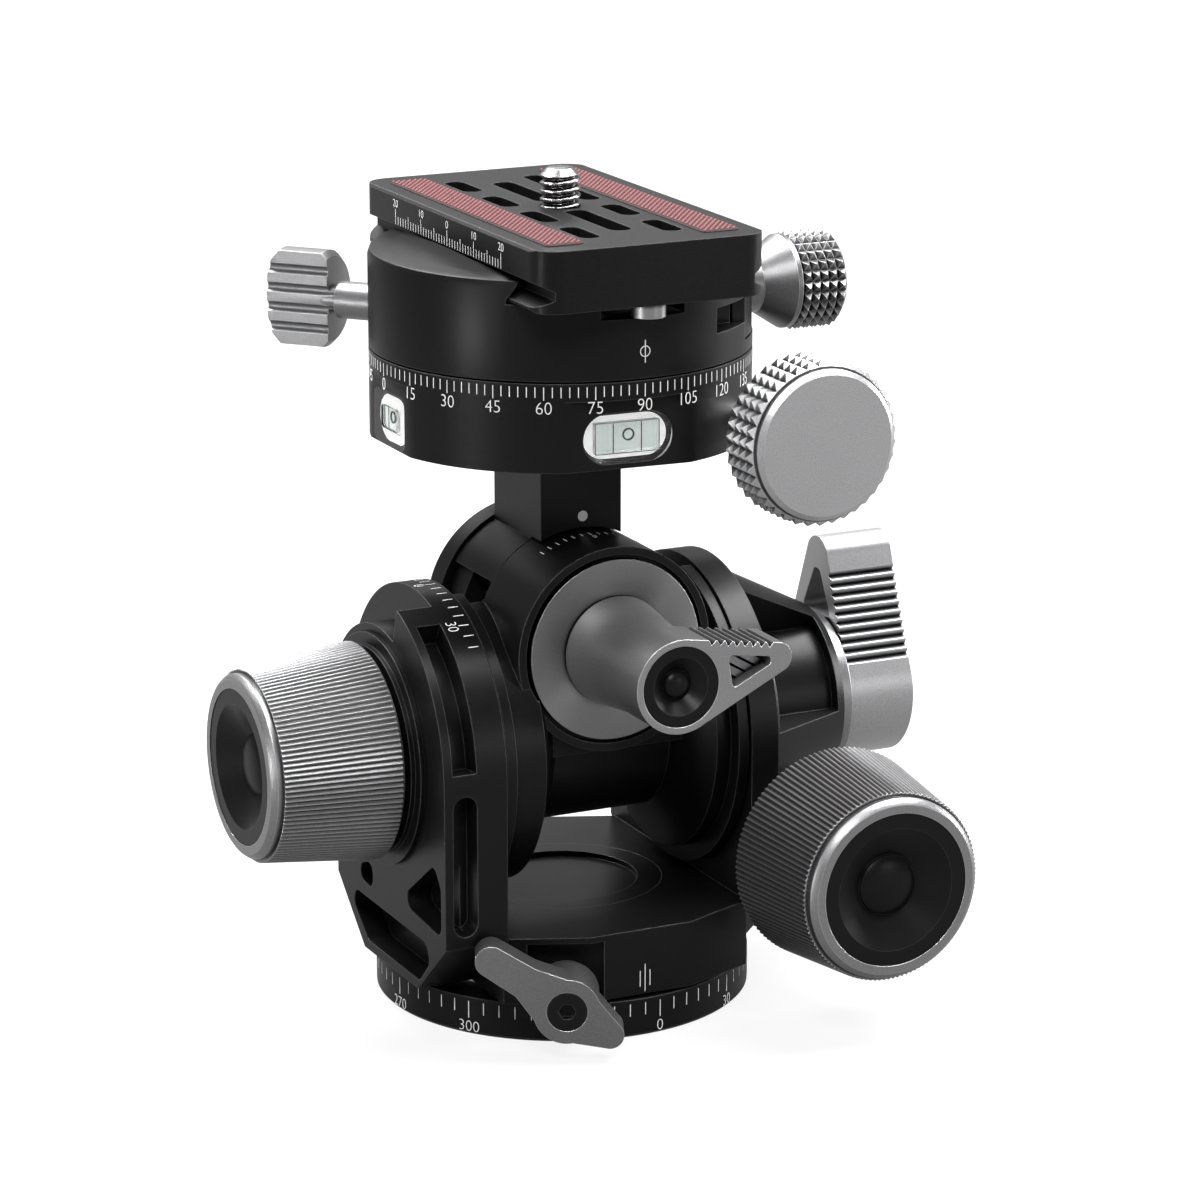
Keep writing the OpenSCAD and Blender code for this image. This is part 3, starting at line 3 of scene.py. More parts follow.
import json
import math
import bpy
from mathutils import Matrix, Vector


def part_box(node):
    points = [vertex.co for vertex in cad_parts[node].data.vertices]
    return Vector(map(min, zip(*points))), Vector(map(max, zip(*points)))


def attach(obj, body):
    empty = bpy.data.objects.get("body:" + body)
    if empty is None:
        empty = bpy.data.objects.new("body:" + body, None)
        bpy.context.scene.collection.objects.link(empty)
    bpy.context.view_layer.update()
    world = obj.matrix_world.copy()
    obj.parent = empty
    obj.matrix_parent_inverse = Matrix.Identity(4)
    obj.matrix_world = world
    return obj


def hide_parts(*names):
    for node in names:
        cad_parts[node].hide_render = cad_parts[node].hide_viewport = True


bl_info = {
    "name": "Geared Tripod Head",
    "version": (1, 0, 0),
    "blender": (4, 5, 0),
    "location": "View3D > Sidebar > Geared Head",
    "description": "Dresses a geared tripod head with its finishes, scales and small parts",
    "category": "Object",
}

import bmesh
import bpy
from mathutils import Matrix, Vector

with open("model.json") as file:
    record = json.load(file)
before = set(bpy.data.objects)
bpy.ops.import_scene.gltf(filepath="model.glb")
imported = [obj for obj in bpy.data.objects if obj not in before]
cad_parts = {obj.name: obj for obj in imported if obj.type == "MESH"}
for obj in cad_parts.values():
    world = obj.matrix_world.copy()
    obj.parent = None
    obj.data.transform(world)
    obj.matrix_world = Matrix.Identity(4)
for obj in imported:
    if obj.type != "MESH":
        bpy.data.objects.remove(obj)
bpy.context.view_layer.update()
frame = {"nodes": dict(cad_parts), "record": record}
nodes = frame["nodes"]

MM = 0.001
X_AXIS, Y_AXIS, Z_AXIS = (1, 0, 0), (0, 1, 0), (0, 0, 1)


def joint_place(name):
    """Where a joint of the frame stands, in mm."""
    for joint in frame["record"]["behaviour"]["joints"]:
        if joint["name"] == name:
            return tuple(v / MM for v in joint["pos_m"])
    raise ValueError("the frame has no joint " + name)


TILT_AXIS = joint_place("tilt")  # runs along X
ROLL_AXIS = joint_place("roll")  # runs along Y
TILT_WORM_AXIS = joint_place("tilt_gear")  # runs along Y

# Radii of the round pieces that carry a scale or a mark, in mm
BARREL_RADIUS = 16.4
BAND_RADIUS = 25.5
TURRET_RADIUS = 30
OVER = 0.01  # how far a scale's main lines stand over the fine ones, in mm


def colour_property(name, description, default):
    return bpy.props.FloatVectorProperty(
        name=name, description=description, subtype="COLOR", size=3, default=default, min=0, max=1
    )


def size_property(name, description, default, low, high):
    return bpy.props.FloatProperty(
        name=name, description=description, default=default, min=low, max=high
    )


class HeadColours(bpy.types.PropertyGroup):
    """Colours of the head's finishes."""

    anodised: colour_property("Black anodise", "Colour of the black metal", (0.0042, 0.0042, 0.0045))
    titanium: colour_property(
        "Titanium grey", "Colour of the grey knobs and levers", (0.21, 0.21, 0.214)
    )
    steel: colour_property("Stainless steel", "Colour of the bright screws", (0.66, 0.66, 0.66))
    bronze: colour_property("Bronze", "Colour of the worm wheels", (0.5, 0.32, 0.16))
    brass: colour_property("Brass", "Colour of the bushes", (0.62, 0.47, 0.22))
    cap: colour_property("Cap black", "Colour of the knobs' end caps", (0.004, 0.004, 0.0042))
    pad: colour_property("Pad red", "Colour of the woven pads", (0.135, 0.046, 0.048))
    print_white: colour_property("Scale white", "Colour of the engraved scales", (0.78, 0.78, 0.77))
    liquid: colour_property("Level liquid", "Colour of the liquid in the levels", (0.78, 0.84, 0.82))
    floor: colour_property("Floor", "Colour of the studio floor", (0.06, 0.06, 0.06))


class HeadSizes(bpy.types.PropertyGroup):
    """Sizes of the small detail, in millimetres."""

    edge: size_property("Edge radius", "Radius of the broken edges", 0.28, 0.05, 0.6)
    line_width: size_property("Line width", "Width of a scale line", 0.14, 0.05, 0.5)
    proud: size_property("Print height", "Height of the scale print", 0.03, 0.01, 0.1)
    figure: size_property("Figure height", "Height of the rotator scale's figures", 2.05, 1, 3)
    thread_pitch: size_property("Screw pitch", "Pitch of the camera screw", 1.27, 0.8, 2)
    thread_depth: size_property("Thread depth", "Depth of the camera screw's thread", 0.62, 0.3, 0.9)
    knot: size_property("Weave pitch", "Distance between the pads' woven knots", 0.96, 0.5, 2)
    grain: size_property("Blast grain", "Size of the blasted grain", 0.22, 0.05, 1)


def sizes():
    return bpy.context.scene.head_sizes


def colours():
    return bpy.context.scene.head_colours


# Node helpers, for shader and geometry trees


def feed(tree, socket, value):
    """Links another node's socket to this one, or sets a plain value; None leaves it alone."""
    if isinstance(value, bpy.types.NodeSocket):
        tree.links.new(value, socket)
    elif value is not None:
        socket.default_value = value


def add_node(tree, kind, inputs=None, **settings):
    """A new node with its settings made and its inputs fed, by name or by number."""
    node = tree.nodes.new(kind)
    for key, value in settings.items():
        setattr(node, key, value)
    for key, value in (inputs or {}).items():
        feed(tree, node.inputs[key], value)
    return node


def new_group(kind, name, inputs, outputs):
    """A node group with these sockets, its input node's outputs and its output node's inputs."""
    tree = bpy.data.node_groups.new(name, kind)

    def add_socket(label, way, socket_kind):
        socket_type = "NodeSocket" + socket_kind
        return tree.interface.new_socket(name=label, in_out=way, socket_type=socket_type)

    for label, socket_kind, default in inputs:
        socket = add_socket(label, "INPUT", socket_kind)
        if default is not None:
            socket.default_value = default
    for label, socket_kind in outputs:
        add_socket(label, "OUTPUT", socket_kind)
    given = tree.nodes.new("NodeGroupInput").outputs
    result = tree.nodes.new("NodeGroupOutput").inputs
    return tree, given, result


def math_node(tree, operation, *values, clamp=False):
    settings = {"operation": operation, "use_clamp": clamp}
    return add_node(tree, "ShaderNodeMath", dict(enumerate(values)), **settings).outputs[0]


def vector_node(tree, operation, *values):
    node = add_node(tree, "ShaderNodeVectorMath", dict(enumerate(values)), operation=operation)
    return node.outputs["Value" if operation in ("LENGTH", "DOT_PRODUCT") else "Vector"]


def scaled(tree, vector, factor):
    inputs = {0: vector, "Scale": factor}
    return add_node(tree, "ShaderNodeVectorMath", inputs, operation="SCALE").outputs["Vector"]


def combined(tree, x=None, y=None, z=None):
    return add_node(tree, "ShaderNodeCombineXYZ", {0: x, 1: y, 2: z}).outputs[0]


def mix_colour(tree, factor, a, b):
    inputs = {0: factor, 6: a, 7: b}
    return add_node(tree, "ShaderNodeMix", inputs, data_type="RGBA").outputs[2]


def object_coords(tree):
    return tree.nodes.new("ShaderNodeTexCoord").outputs["Object"]


def noise(tree, vector, scale, detail=2.0):
    inputs = {"Scale": scale, "Detail": detail, "Vector": vector}
    return add_node(tree, "ShaderNodeTexNoise", inputs).outputs["Fac"]


def bumped(tree, height, strength, distance, normal=None):
    inputs = {"Distance": distance, "Strength": strength, "Height": height, "Normal": normal}
    return add_node(tree, "ShaderNodeBump", inputs).outputs[0]


# Shader node groups

groups = {}


def build_surface_group():
    """Blasted or turned metal: a fine grain, slow tone changes, softened edges with a painted
    highlight, and painted shade in the hollows.
    """
    tree, given, result = new_group(
        "ShaderNodeTree",
        "Machined surface",
        [
            ("Colour", "Color", (0.5, 0.5, 0.5, 1)),
            ("Painted edge highlight", "Color", (0.7, 0.7, 0.7, 1)),
            ("Edge highlight amount", "Float", 0.3),
            ("Grain size", "Float", 0.0002),
            ("Grain depth", "Float", 0.3),
            ("Speckle", "Float", 0.2),
            ("Roughness", "Float", 0.4),
            ("Edge radius", "Float", 0.0003),
            ("Painted cavity shade", "Float", 0.5),
            ("Cavity size", "Float", 0.001),
        ],
        [("Colour", "Color"), ("Roughness", "Float"), ("Normal", "Vector")],
    )
    slow_scale, slow_share = 55.0, 0.18
    edge_gain, painted_shade_gain, rough_share = 9.0, 1.7, 0.16
    grain_distance = 0.00004

    # Grain and slow tone changes
    coord = object_coords(tree)
    fine = noise(tree, coord, math_node(tree, "DIVIDE", 1.0, given["Grain size"]), 1.0)
    slow = noise(tree, coord, slow_scale, 3.0)
    swing = math_node(tree, "SUBTRACT", fine, 0.5)
    speck = math_node(tree, "MULTIPLY", swing, given["Speckle"])
    drift = math_node(tree, "MULTIPLY", math_node(tree, "SUBTRACT", slow, 0.5), slow_share)
    gain = math_node(tree, "ADD", math_node(tree, "ADD", 1.0, speck), drift)
    tone = scaled(tree, given["Colour"], gain)

    # Painted highlight on the edges, where the softened normal turns away from the real one
    bevel = add_node(tree, "ShaderNodeBevel", {"Radius": given["Edge radius"]}, samples=4).outputs[0]
    real_normal = tree.nodes.new("ShaderNodeNewGeometry").outputs["Normal"]
    turn = vector_node(tree, "DOT_PRODUCT", bevel, real_normal)
    away = math_node(tree, "SUBTRACT", 1.0, turn)
    edge = math_node(tree, "MULTIPLY", away, edge_gain, clamp=True)
    edge = math_node(tree, "MULTIPLY", edge, given["Edge highlight amount"])
    colour = mix_colour(tree, edge, tone, given["Painted edge highlight"])

    # Painted shade in the hollows, darkened by ambient occlusion
    hollow = {"Distance": given["Cavity size"]}
    light = add_node(tree, "ShaderNodeAmbientOcclusion", hollow, samples=4).outputs["AO"]
    painted_shade = math_node(tree, "MULTIPLY", math_node(tree, "SUBTRACT", 1.0, light), given["Painted cavity shade"])
    painted_shade = math_node(tree, "MULTIPLY", painted_shade, painted_shade_gain, clamp=True)
    open_share = math_node(tree, "SUBTRACT", 1.0, painted_shade, clamp=True)

    rough_swing = math_node(tree, "MULTIPLY", swing, rough_share)
    rough = math_node(tree, "ADD", given["Roughness"], rough_swing, clamp=True)
    feed(tree, result["Colour"], scaled(tree, colour, open_share))
    feed(tree, result["Roughness"], rough)
    feed(tree, result["Normal"], bumped(tree, fine, given["Grain depth"], grain_distance, bevel))
    return tree


def build_turning_group():
    """Fine rings round an axis, as a lathe leaves them, as a height from 0 to 1."""
    tree, given, result = new_group(
        "ShaderNodeTree",
        "Turned rings",
        [
            ("Centre", "Vector", (0, 0, 0)),
            ("Axis", "Vector", Z_AXIS),
            ("Ring pitch", "Float", 0.0002),
        ],
        [("Height", "Float")],
    )
    away = vector_node(tree, "SUBTRACT", object_coords(tree), given["Centre"])
    across = vector_node(tree, "CROSS_PRODUCT", away, given["Axis"])
    radius = vector_node(tree, "LENGTH", across)
    turns = math_node(tree, "DIVIDE", radius, given["Ring pitch"])
    inputs = {"Scale": 1.0, "Detail": 2.0, "W": turns}
    line = add_node(tree, "ShaderNodeTexNoise", inputs, noise_dimensions="1D")
    feed(tree, result["Height"], line.outputs["Fac"])
    return tree


# Materials


def new_material(name):
    m = bpy.data.materials.new(name)
    m.use_nodes = True
    return m, m.node_tree, m.node_tree.nodes["Principled BSDF"]


def surface_material(
    name, colour, metallic, roughness, edge,
    edge_highlight_amount=0.3, grain=1.0, depth=0.3, speckle=0.3, radius=1.0,
    turned=None, specular=0.5, cavity=(0.5, 1.0),
):
    """A metal or plastic finish; turned = (centre, axis, pitch, depth) adds lathe rings."""
    m, tree, shader = new_material(name)
    values = {
        "Colour": (*colour, 1),
        # Edge colour: a painted highlight along the edges, lighter than the face
        "Painted edge highlight": (*edge, 1),
        "Edge highlight amount": edge_highlight_amount,
        "Grain size": sizes().grain * grain * MM,
        "Grain depth": depth,
        "Speckle": speckle,
        "Roughness": roughness,
        "Edge radius": sizes().edge * radius * MM,
        # Painted shade in the hollows: its strength and how far the occlusion reaches
        "Painted cavity shade": cavity[0],
        "Cavity size": cavity[1] * MM,
    }
    surface = add_node(tree, "ShaderNodeGroup", values, node_tree=groups["surface"]).outputs
    normal = surface["Normal"]
    if turned:
        centre, axis, pitch, rings = turned
        values = {"Centre": [v * MM for v in centre], "Axis": axis, "Ring pitch": pitch * MM}
        turning = add_node(tree, "ShaderNodeGroup", values, node_tree=groups["turning"])
        normal = bumped(tree, turning.outputs["Height"], rings, 0.00002, normal)
    feed(tree, shader.inputs["Metallic"], metallic)
    feed(tree, shader.inputs["Specular IOR Level"], specular)
    feed(tree, shader.inputs["Base Color"], surface["Colour"])
    feed(tree, shader.inputs["Roughness"], surface["Roughness"])
    feed(tree, shader.inputs["Normal"], normal)
    return m


def mat_black():
    return surface_material(
        "Black anodised metal", colours().anodised, 0.0, 0.34, (0.13, 0.13, 0.134),
        edge_highlight_amount=0.5, depth=0.34, speckle=1.0, radius=0.9, specular=0.13, cavity=(0.6, 1.5),
    )


def mat_grey(name="Titanium grey metal", gain=1.0):
    return surface_material(
        name, [v * gain for v in colours().titanium], 0.85, 0.36, (0.62, 0.62, 0.62),
        edge_highlight_amount=0.8, grain=0.8, depth=0.5, speckle=0.7, radius=0.7,
        specular=0.4, cavity=(1.5, 0.7),
    )


def polished(name, colour, roughness, edge, edge_highlight_amount, depth, speckle, radius=0.4, **more):
    """A cut or polished metal, with hardly any grain."""
    return surface_material(
        name, colour, 1.0, roughness, edge, edge_highlight_amount, 0.7, depth, speckle, radius, **more
    )


def mat_cap(name, centre, axis):
    return surface_material(
        name, colours().cap, 0.0, 0.34, (0.12, 0.12, 0.12),
        edge_highlight_amount=0.5, grain=0.8, depth=0.12, speckle=0.1, radius=0.5,
        turned=(centre, axis, 0.16, 0.5), specular=0.12,
    )


def turned_face(name, colour, centre, axis):
    """A face cut in rings round an axis, so its highlight spreads across the rings."""
    m = surface_material(
        name, colour, 1.0, 0.36, (0.3, 0.3, 0.3),
        edge_highlight_amount=0.6, grain=0.8, depth=0.25, speckle=0.5, radius=0.8,
        turned=(centre, axis, 0.14, 0.3),
    )
    tree, shader = m.node_tree, m.node_tree.nodes["Principled BSDF"]
    away = vector_node(tree, "SUBTRACT", object_coords(tree), [v * MM for v in centre])
    feed(tree, shader.inputs["Anisotropic"], 0.8)
    feed(tree, shader.inputs["Tangent"], vector_node(tree, "CROSS_PRODUCT", away, axis))
    return m


def mat_clear(name, colour, roughness=0.03):
    m, tree, shader = new_material(name)
    haze = noise(tree, object_coords(tree), 700.0)
    tint = mix_colour(tree, haze, (*[c * 0.97 for c in colour], 1), (*colour, 1))
    feed(tree, shader.inputs["Transmission Weight"], 1.0)
    feed(tree, shader.inputs["IOR"], 1.46)
    feed(tree, shader.inputs["Base Color"], tint)
    feed(tree, shader.inputs["Roughness"], math_node(tree, "MULTIPLY", haze, roughness * 2))
    return m


def mat_print():
    m, tree, shader = new_material("White scale print")
    c = colours().print_white
    fleck = noise(tree, object_coords(tree), 5200.0)
    tone = mix_colour(tree, fleck, (*[v * 0.8 for v in c], 1), (*c, 1))
    feed(tree, shader.inputs["Base Color"], tone)
    feed(tree, shader.inputs["Roughness"], 0.6)
    return m


def mat_pad():
    m, tree, shader = new_material("Woven red pad")
    c = colours().pad
    coord = object_coords(tree)
    yarn = noise(tree, coord, 5200.0, 3.0)
    patch = noise(tree, coord, 420.0)
    dark, pale = [v * 0.62 for v in c], [min(1, v * 1.35) for v in c]
    faded = (c[0] * 1.2, c[1] * 1.5, c[2] * 1.5, 1)
    tone = mix_colour(tree, yarn, (*dark, 1), (*pale, 1))
    tone = mix_colour(tree, math_node(tree, "MULTIPLY", patch, 0.35), tone, faded)
    feed(tree, shader.inputs["Base Color"], tone)
    feed(tree, shader.inputs["Roughness"], 0.75)
    feed(tree, shader.inputs["Specular IOR Level"], 0.15)
    feed(tree, shader.inputs["Normal"], bumped(tree, yarn, 0.5, 0.00008))
    return m


def mat_level_backing():
    """The white card behind a level, which glows a little where it is seen through the level."""
    m, tree, shader = new_material("Level backing")
    fleck = noise(tree, object_coords(tree), 900.0)
    seen = tree.nodes.new("ShaderNodeLightPath").outputs["Is Transmission Ray"]
    tone = mix_colour(tree, fleck, (0.8, 0.8, 0.79, 1), (0.88, 0.88, 0.87, 1))
    feed(tree, shader.inputs["Base Color"], tone)
    feed(tree, shader.inputs["Roughness"], 0.6)
    feed(tree, shader.inputs["Emission Color"], (1, 1, 1, 1))
    feed(tree, shader.inputs["Emission Strength"], math_node(tree, "MULTIPLY", seen, 0.42))
    return m


def mat_floor():
    """A floor that is seen white but lights the head only a little."""
    m, tree, shader = new_material("Pale studio floor")
    ray = tree.nodes.new("ShaderNodeLightPath").outputs
    mirrored = math_node(tree, "MULTIPLY", ray["Is Glossy Ray"], 0.3)
    seen = math_node(tree, "MAXIMUM", ray["Is Camera Ray"], mirrored)
    seen = math_node(tree, "MAXIMUM", seen, ray["Is Transmission Ray"])
    near_radius, fade, near_tone = 0.03, 6.0, 0.86
    away = vector_node(tree, "LENGTH", object_coords(tree))
    rise = math_node(tree, "SUBTRACT", away, near_radius)
    rise = math_node(tree, "MULTIPLY", rise, fade, clamp=True)
    glow = math_node(tree, "MULTIPLY", rise, 1 - near_tone)
    glow = math_node(tree, "ADD", near_tone, glow)
    feed(tree, shader.inputs["Base Color"], (*colours().floor, 1))
    feed(tree, shader.inputs["Roughness"], 0.85)
    feed(tree, shader.inputs["Emission Color"], (1, 1, 1, 1))
    feed(tree, shader.inputs["Emission Strength"], math_node(tree, "MULTIPLY", seen, glow))
    return m


# Mesh helpers


def new_object(name, data):
    obj = bpy.data.objects.new(name, data)
    bpy.context.scene.collection.objects.link(obj)
    return obj


def dress(obj, material):
    obj.data.materials.clear()
    obj.data.materials.append(material)


def ride_as(obj, material, body, hidden=()):
    """Gives a finished piece its material and its body, and hides the CAD parts named in hidden."""
    dress(obj, material)
    if hidden:
        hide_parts(*hidden)
    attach(obj, body)
    return obj


def mesh_piece(name, verts, faces, smooth=True, angle=32):
    """A mesh object from vertices in mm; edges over angle, in degrees, stay sharp."""
    me = bpy.data.meshes.new(name)
    me.from_pydata([Vector(v) * MM for v in verts], [], faces)
    bm = bmesh.new()
    bm.from_mesh(me)
    bmesh.ops.remove_doubles(bm, verts=bm.verts, dist=1e-7)
    bmesh.ops.recalc_face_normals(bm, faces=bm.faces)
    for f in bm.faces:
        f.smooth = smooth
    for e in bm.edges:
        e.smooth = len(e.link_faces) == 2 and e.calc_face_angle(0) < math.radians(angle)
    bm.to_mesh(me)
    bm.free()
    return new_object(name, me)


def around(radius, i, steps):
    """The point i of steps on a circle."""
    a = 2 * math.pi * i / steps
    return radius * math.cos(a), radius * math.sin(a)


def band(a, b, i, j):
    """The face between the places i and j of two rings of the same number of points."""
    return [a + i, a + j, b + j, b + i]


def turned_piece(name, profile, place, steps=96):
    """A profile of (radius, height) turned about its own Z, then set by the matrix place, in mm."""
    verts, faces, rings = [], [], []
    for r, z in profile:
        count = 1 if r < 1e-6 else steps
        rings.append(list(range(len(verts), len(verts) + count)))
        if count == 1:
            verts.append(place @ Vector((0, 0, z)))
        else:
            verts.extend(place @ Vector((*around(r, i, steps), z)) for i in range(steps))
    for a, b in zip(rings, rings[1:]):
        for i in range(steps):
            j = (i + 1) % steps
            quad = [a[i % len(a)], a[j % len(a)], b[j % len(b)], b[i % len(b)]]
            quad = list(dict.fromkeys(quad))
            if len(quad) > 2:
                faces.append(quad)
    return mesh_piece(name, verts, faces)


def facing(origin, right, up):
    """A matrix whose X is right, Y is up and Z is outwards, at origin, in mm."""
    x, y = Vector(right).normalized(), Vector(up).normalized()
    m = Matrix((x, y, x.cross(y))).transposed().to_4x4()
    m.translation = Vector(origin)
    return m


def join_meshes(name, parts):
    """One object from several mesh objects."""
    bm = bmesh.new()
    for o in parts:
        bm.from_mesh(o.data)
    me = bpy.data.meshes.new(name)
    bm.to_mesh(me)
    bm.free()
    for o in parts:
        data = o.data
        bpy.data.objects.remove(o)
        bpy.data.meshes.remove(data)
    return new_object(name, me)


def evaluated_mesh(holder):
    """The plain mesh that an object's curve or modifiers give."""
    bpy.context.view_layer.update()
    depsgraph = bpy.context.evaluated_depsgraph_get()
    return bpy.data.meshes.new_from_object(holder.evaluated_get(depsgraph))


# Outlines of figures and marks, as (verts, faces), and the wraps that lay them on the pieces


def figure_mesh(text, height, width_share=0.86):
    """The flat outline of a figure, centred on its own origin, in mm."""
    height_of_figures, thinning = 0.73, -0.018  # shares of the letters' size
    curve = bpy.data.curves.new("figure", "FONT")
    curve.body = text
    curve.size = height / height_of_figures
    curve.align_x = "CENTER"
    curve.align_y = "CENTER"
    curve.extrude = 0.0
    curve.offset = thinning * curve.size
    curve.resolution_u = 4
    holder = new_object("figure", curve)
    me = evaluated_mesh(holder)
    verts = [Vector((v.co.x * width_share, v.co.y, 0)) for v in me.vertices]
    mid = (max(v.y for v in verts) + min(v.y for v in verts)) / 2
    for v in verts:
        v.y -= mid
    faces = [list(p.vertices) for p in me.polygons]
    bpy.data.objects.remove(holder)
    bpy.data.meshes.remove(me)
    bpy.data.curves.remove(curve)
    return verts, faces


def line_shape(x0, y0, x1, y1, width=None):
    """A straight line, width across."""
    half = (width or sizes().line_width) / 2
    d = Vector((x1 - x0, y1 - y0)).normalized()
    n = Vector((-d.y, d.x)) * half
    pts = [(x0 - n.x, y0 - n.y), (x1 - n.x, y1 - n.y), (x1 + n.x, y1 + n.y), (x0 + n.x, y0 + n.y)]
    return [Vector((x, y, 0)) for x, y in pts], [[0, 1, 2, 3]]


def ring_shape(radius, width, steps=28):
    radii = (radius - width / 2, radius + width / 2)
    verts = [Vector((*around(r, i, steps), 0)) for i in range(steps) for r in radii]
    faces = []
    for i in range(steps):
        j = (i + 1) % steps
        faces.append([2 * i, 2 * i + 1, 2 * j + 1, 2 * j])
    return verts, faces


def disc_shape(radius, steps=28):
    return [Vector((*around(radius, i, steps), 0)) for i in range(steps)], [list(range(steps))]


def card_shape(wide, high, steps=32):
    """A card with round ends, wide and high from its centre."""
    verts = []
    for i in range(steps):
        a = 2 * math.pi * i / steps
        x = math.copysign(wide - high, math.cos(a)) + high * math.cos(a)
        verts.append(Vector((x, high * math.sin(a), 0)))
    return verts, [list(range(steps))]


def round_z(radius, angle, z):
    """Wraps an outline on a cylinder about Z: x runs to the right as seen from outside."""

    def wrap(x, y, h):
        a = math.radians(angle) + x / radius
        return ((radius + h) * math.cos(a), (radius + h) * math.sin(a), z + y)

    return wrap


def round_tilt(radius, angle, x0):
    """Wraps an outline on a cylinder about the tilt axis."""

    def wrap(x, y, h):
        a = math.radians(angle) + x / radius
        return (x0 + y, (radius + h) * math.cos(a), TILT_AXIS[2] + (radius + h) * math.sin(a))

    return wrap


def round_roll(radius, angle, y0):
    """Wraps an outline on a cylinder about the roll axis."""

    def wrap(x, y, h):
        a = math.radians(angle) - x / radius
        return ((radius + h) * math.cos(a), y0 + y, ROLL_AXIS[2] + (radius + h) * math.sin(a))

    return wrap


def flat_on(place):
    def wrap(x, y, h):
        return tuple(place @ Vector((x, y, h)))

    return wrap


def raised(verts, faces, wrap, proud):
    """A flat outline made proud by proud mm, through wrap(x, y, height)."""
    n = len(verts)
    top = [wrap(v.x, v.y, proud) for v in verts]
    low = [wrap(v.x, v.y, -proud) for v in verts]
    edges = {(a, b) for f in faces for a, b in zip(f, f[1:] + f[:1])}
    walls = [[a, b, b + n, a + n][::-1] for a, b in sorted(edges) if (b, a) not in edges]
    return top + low, faces + [[i + n for i in reversed(f)] for f in faces] + walls


def print_piece(name, outlines, material, body):
    """Figures and marks as one raised print. outlines is [(verts, faces, wrap)]."""
    verts, faces = [], []
    for flat_verts, flat_faces, wrap in outlines:
        new_verts, new_faces = raised(flat_verts, flat_faces, wrap, sizes().proud)
        base = len(verts)
        verts.extend(new_verts)
        faces.extend([[i + base for i in face] for face in new_faces])
    return ride_as(mesh_piece(name, verts, faces, False), material, body)


# Geometry node trees


def run_tree(name, tree, values):
    """Evaluates a tree with these inputs and returns its result as a plain mesh object."""
    holder = new_object(name + " source", bpy.data.meshes.new(name + " source"))
    mod = holder.modifiers.new("Build", "NODES")
    mod.node_group = tree
    sockets = [s for s in tree.interface.items_tree if s.item_type == "SOCKET"]
    ids = {s.name: s.identifier for s in sockets if s.in_out == "INPUT"}
    for label, value in values.items():
        mod[ids[label]] = value
    me = evaluated_mesh(holder)
    me.name = name
    data = holder.data
    bpy.data.objects.remove(holder)
    bpy.data.meshes.remove(data)
    return new_object(name, me)


def geometry_node(tree, kind, inputs=None, **settings):
    """The first output of a new geometry node."""
    return add_node(tree, "GeometryNode" + kind, inputs, **settings).outputs[0]


def points_line(tree, count, where):
    """Count points, each at the place that where gives for its index."""
    inputs = {"Count": count, "Offset": (0, 0, 0)}
    line = geometry_node(tree, "MeshLine", inputs)
    inputs = {"Geometry": line, "Position": where}
    return geometry_node(tree, "SetPosition", inputs)


def painted(tree, geometry, material):
    inputs = {"Geometry": geometry, "Material": material}
    return geometry_node(tree, "SetMaterial", inputs)


def scale_tree():
    """Lines spaced by angle round Z: each is a thin bar that stands on a cylinder."""
    tree, given, result = new_group(
        "GeometryNodeTree",
        "Scale lines",
        [
            ("Count", "Int", 12),
            ("Step", "Float", 0.1),
            ("Start", "Float", 0.0),
            ("Radius", "Float", 0.03),
            ("Middle", "Float", 0.0),
            ("Size", "Vector", (0.0001, 0.0002, 0.002)),
            ("Material", "Material", None),
        ],
        [("Geometry", "Geometry")],
    )
    index = geometry_node(tree, "InputIndex")
    turn = math_node(tree, "MULTIPLY_ADD", index, given["Step"], given["Start"])
    x = math_node(tree, "MULTIPLY", math_node(tree, "COSINE", turn), given["Radius"])
    y = math_node(tree, "MULTIPLY", math_node(tree, "SINE", turn), given["Radius"])
    points = points_line(tree, given["Count"], combined(tree, x, y, given["Middle"]))
    bar = geometry_node(tree, "MeshCube", {"Size": given["Size"]})
    inputs = {"Points": points, "Instance": bar, "Rotation": combined(tree, z=turn)}
    bars = geometry_node(tree, "InstanceOnPoints", inputs)
    real = geometry_node(tree, "RealizeInstances", {0: bars})
    feed(tree, result[0], painted(tree, real, given["Material"]))
    return tree


def tick_ring(name, count, step, start, radius, middle, length, material, body, place=None):
    """A row of scale lines round Z, turned onto another axis by place, in mm and degrees."""
    values = {
        "Count": count,
        "Step": math.radians(step),
        "Start": math.radians(start),
        "Radius": radius * MM,
        "Middle": middle * MM,
        "Size": (sizes().proud * 2 * MM, sizes().line_width * MM, length * MM),
        "Material": material,
    }
    obj = run_tree(name, groups["scale"], values)
    if place is not None:
        m = place.copy()
        m.translation = m.translation * MM
        obj.data.transform(m)
    return ride_as(obj, material, body)


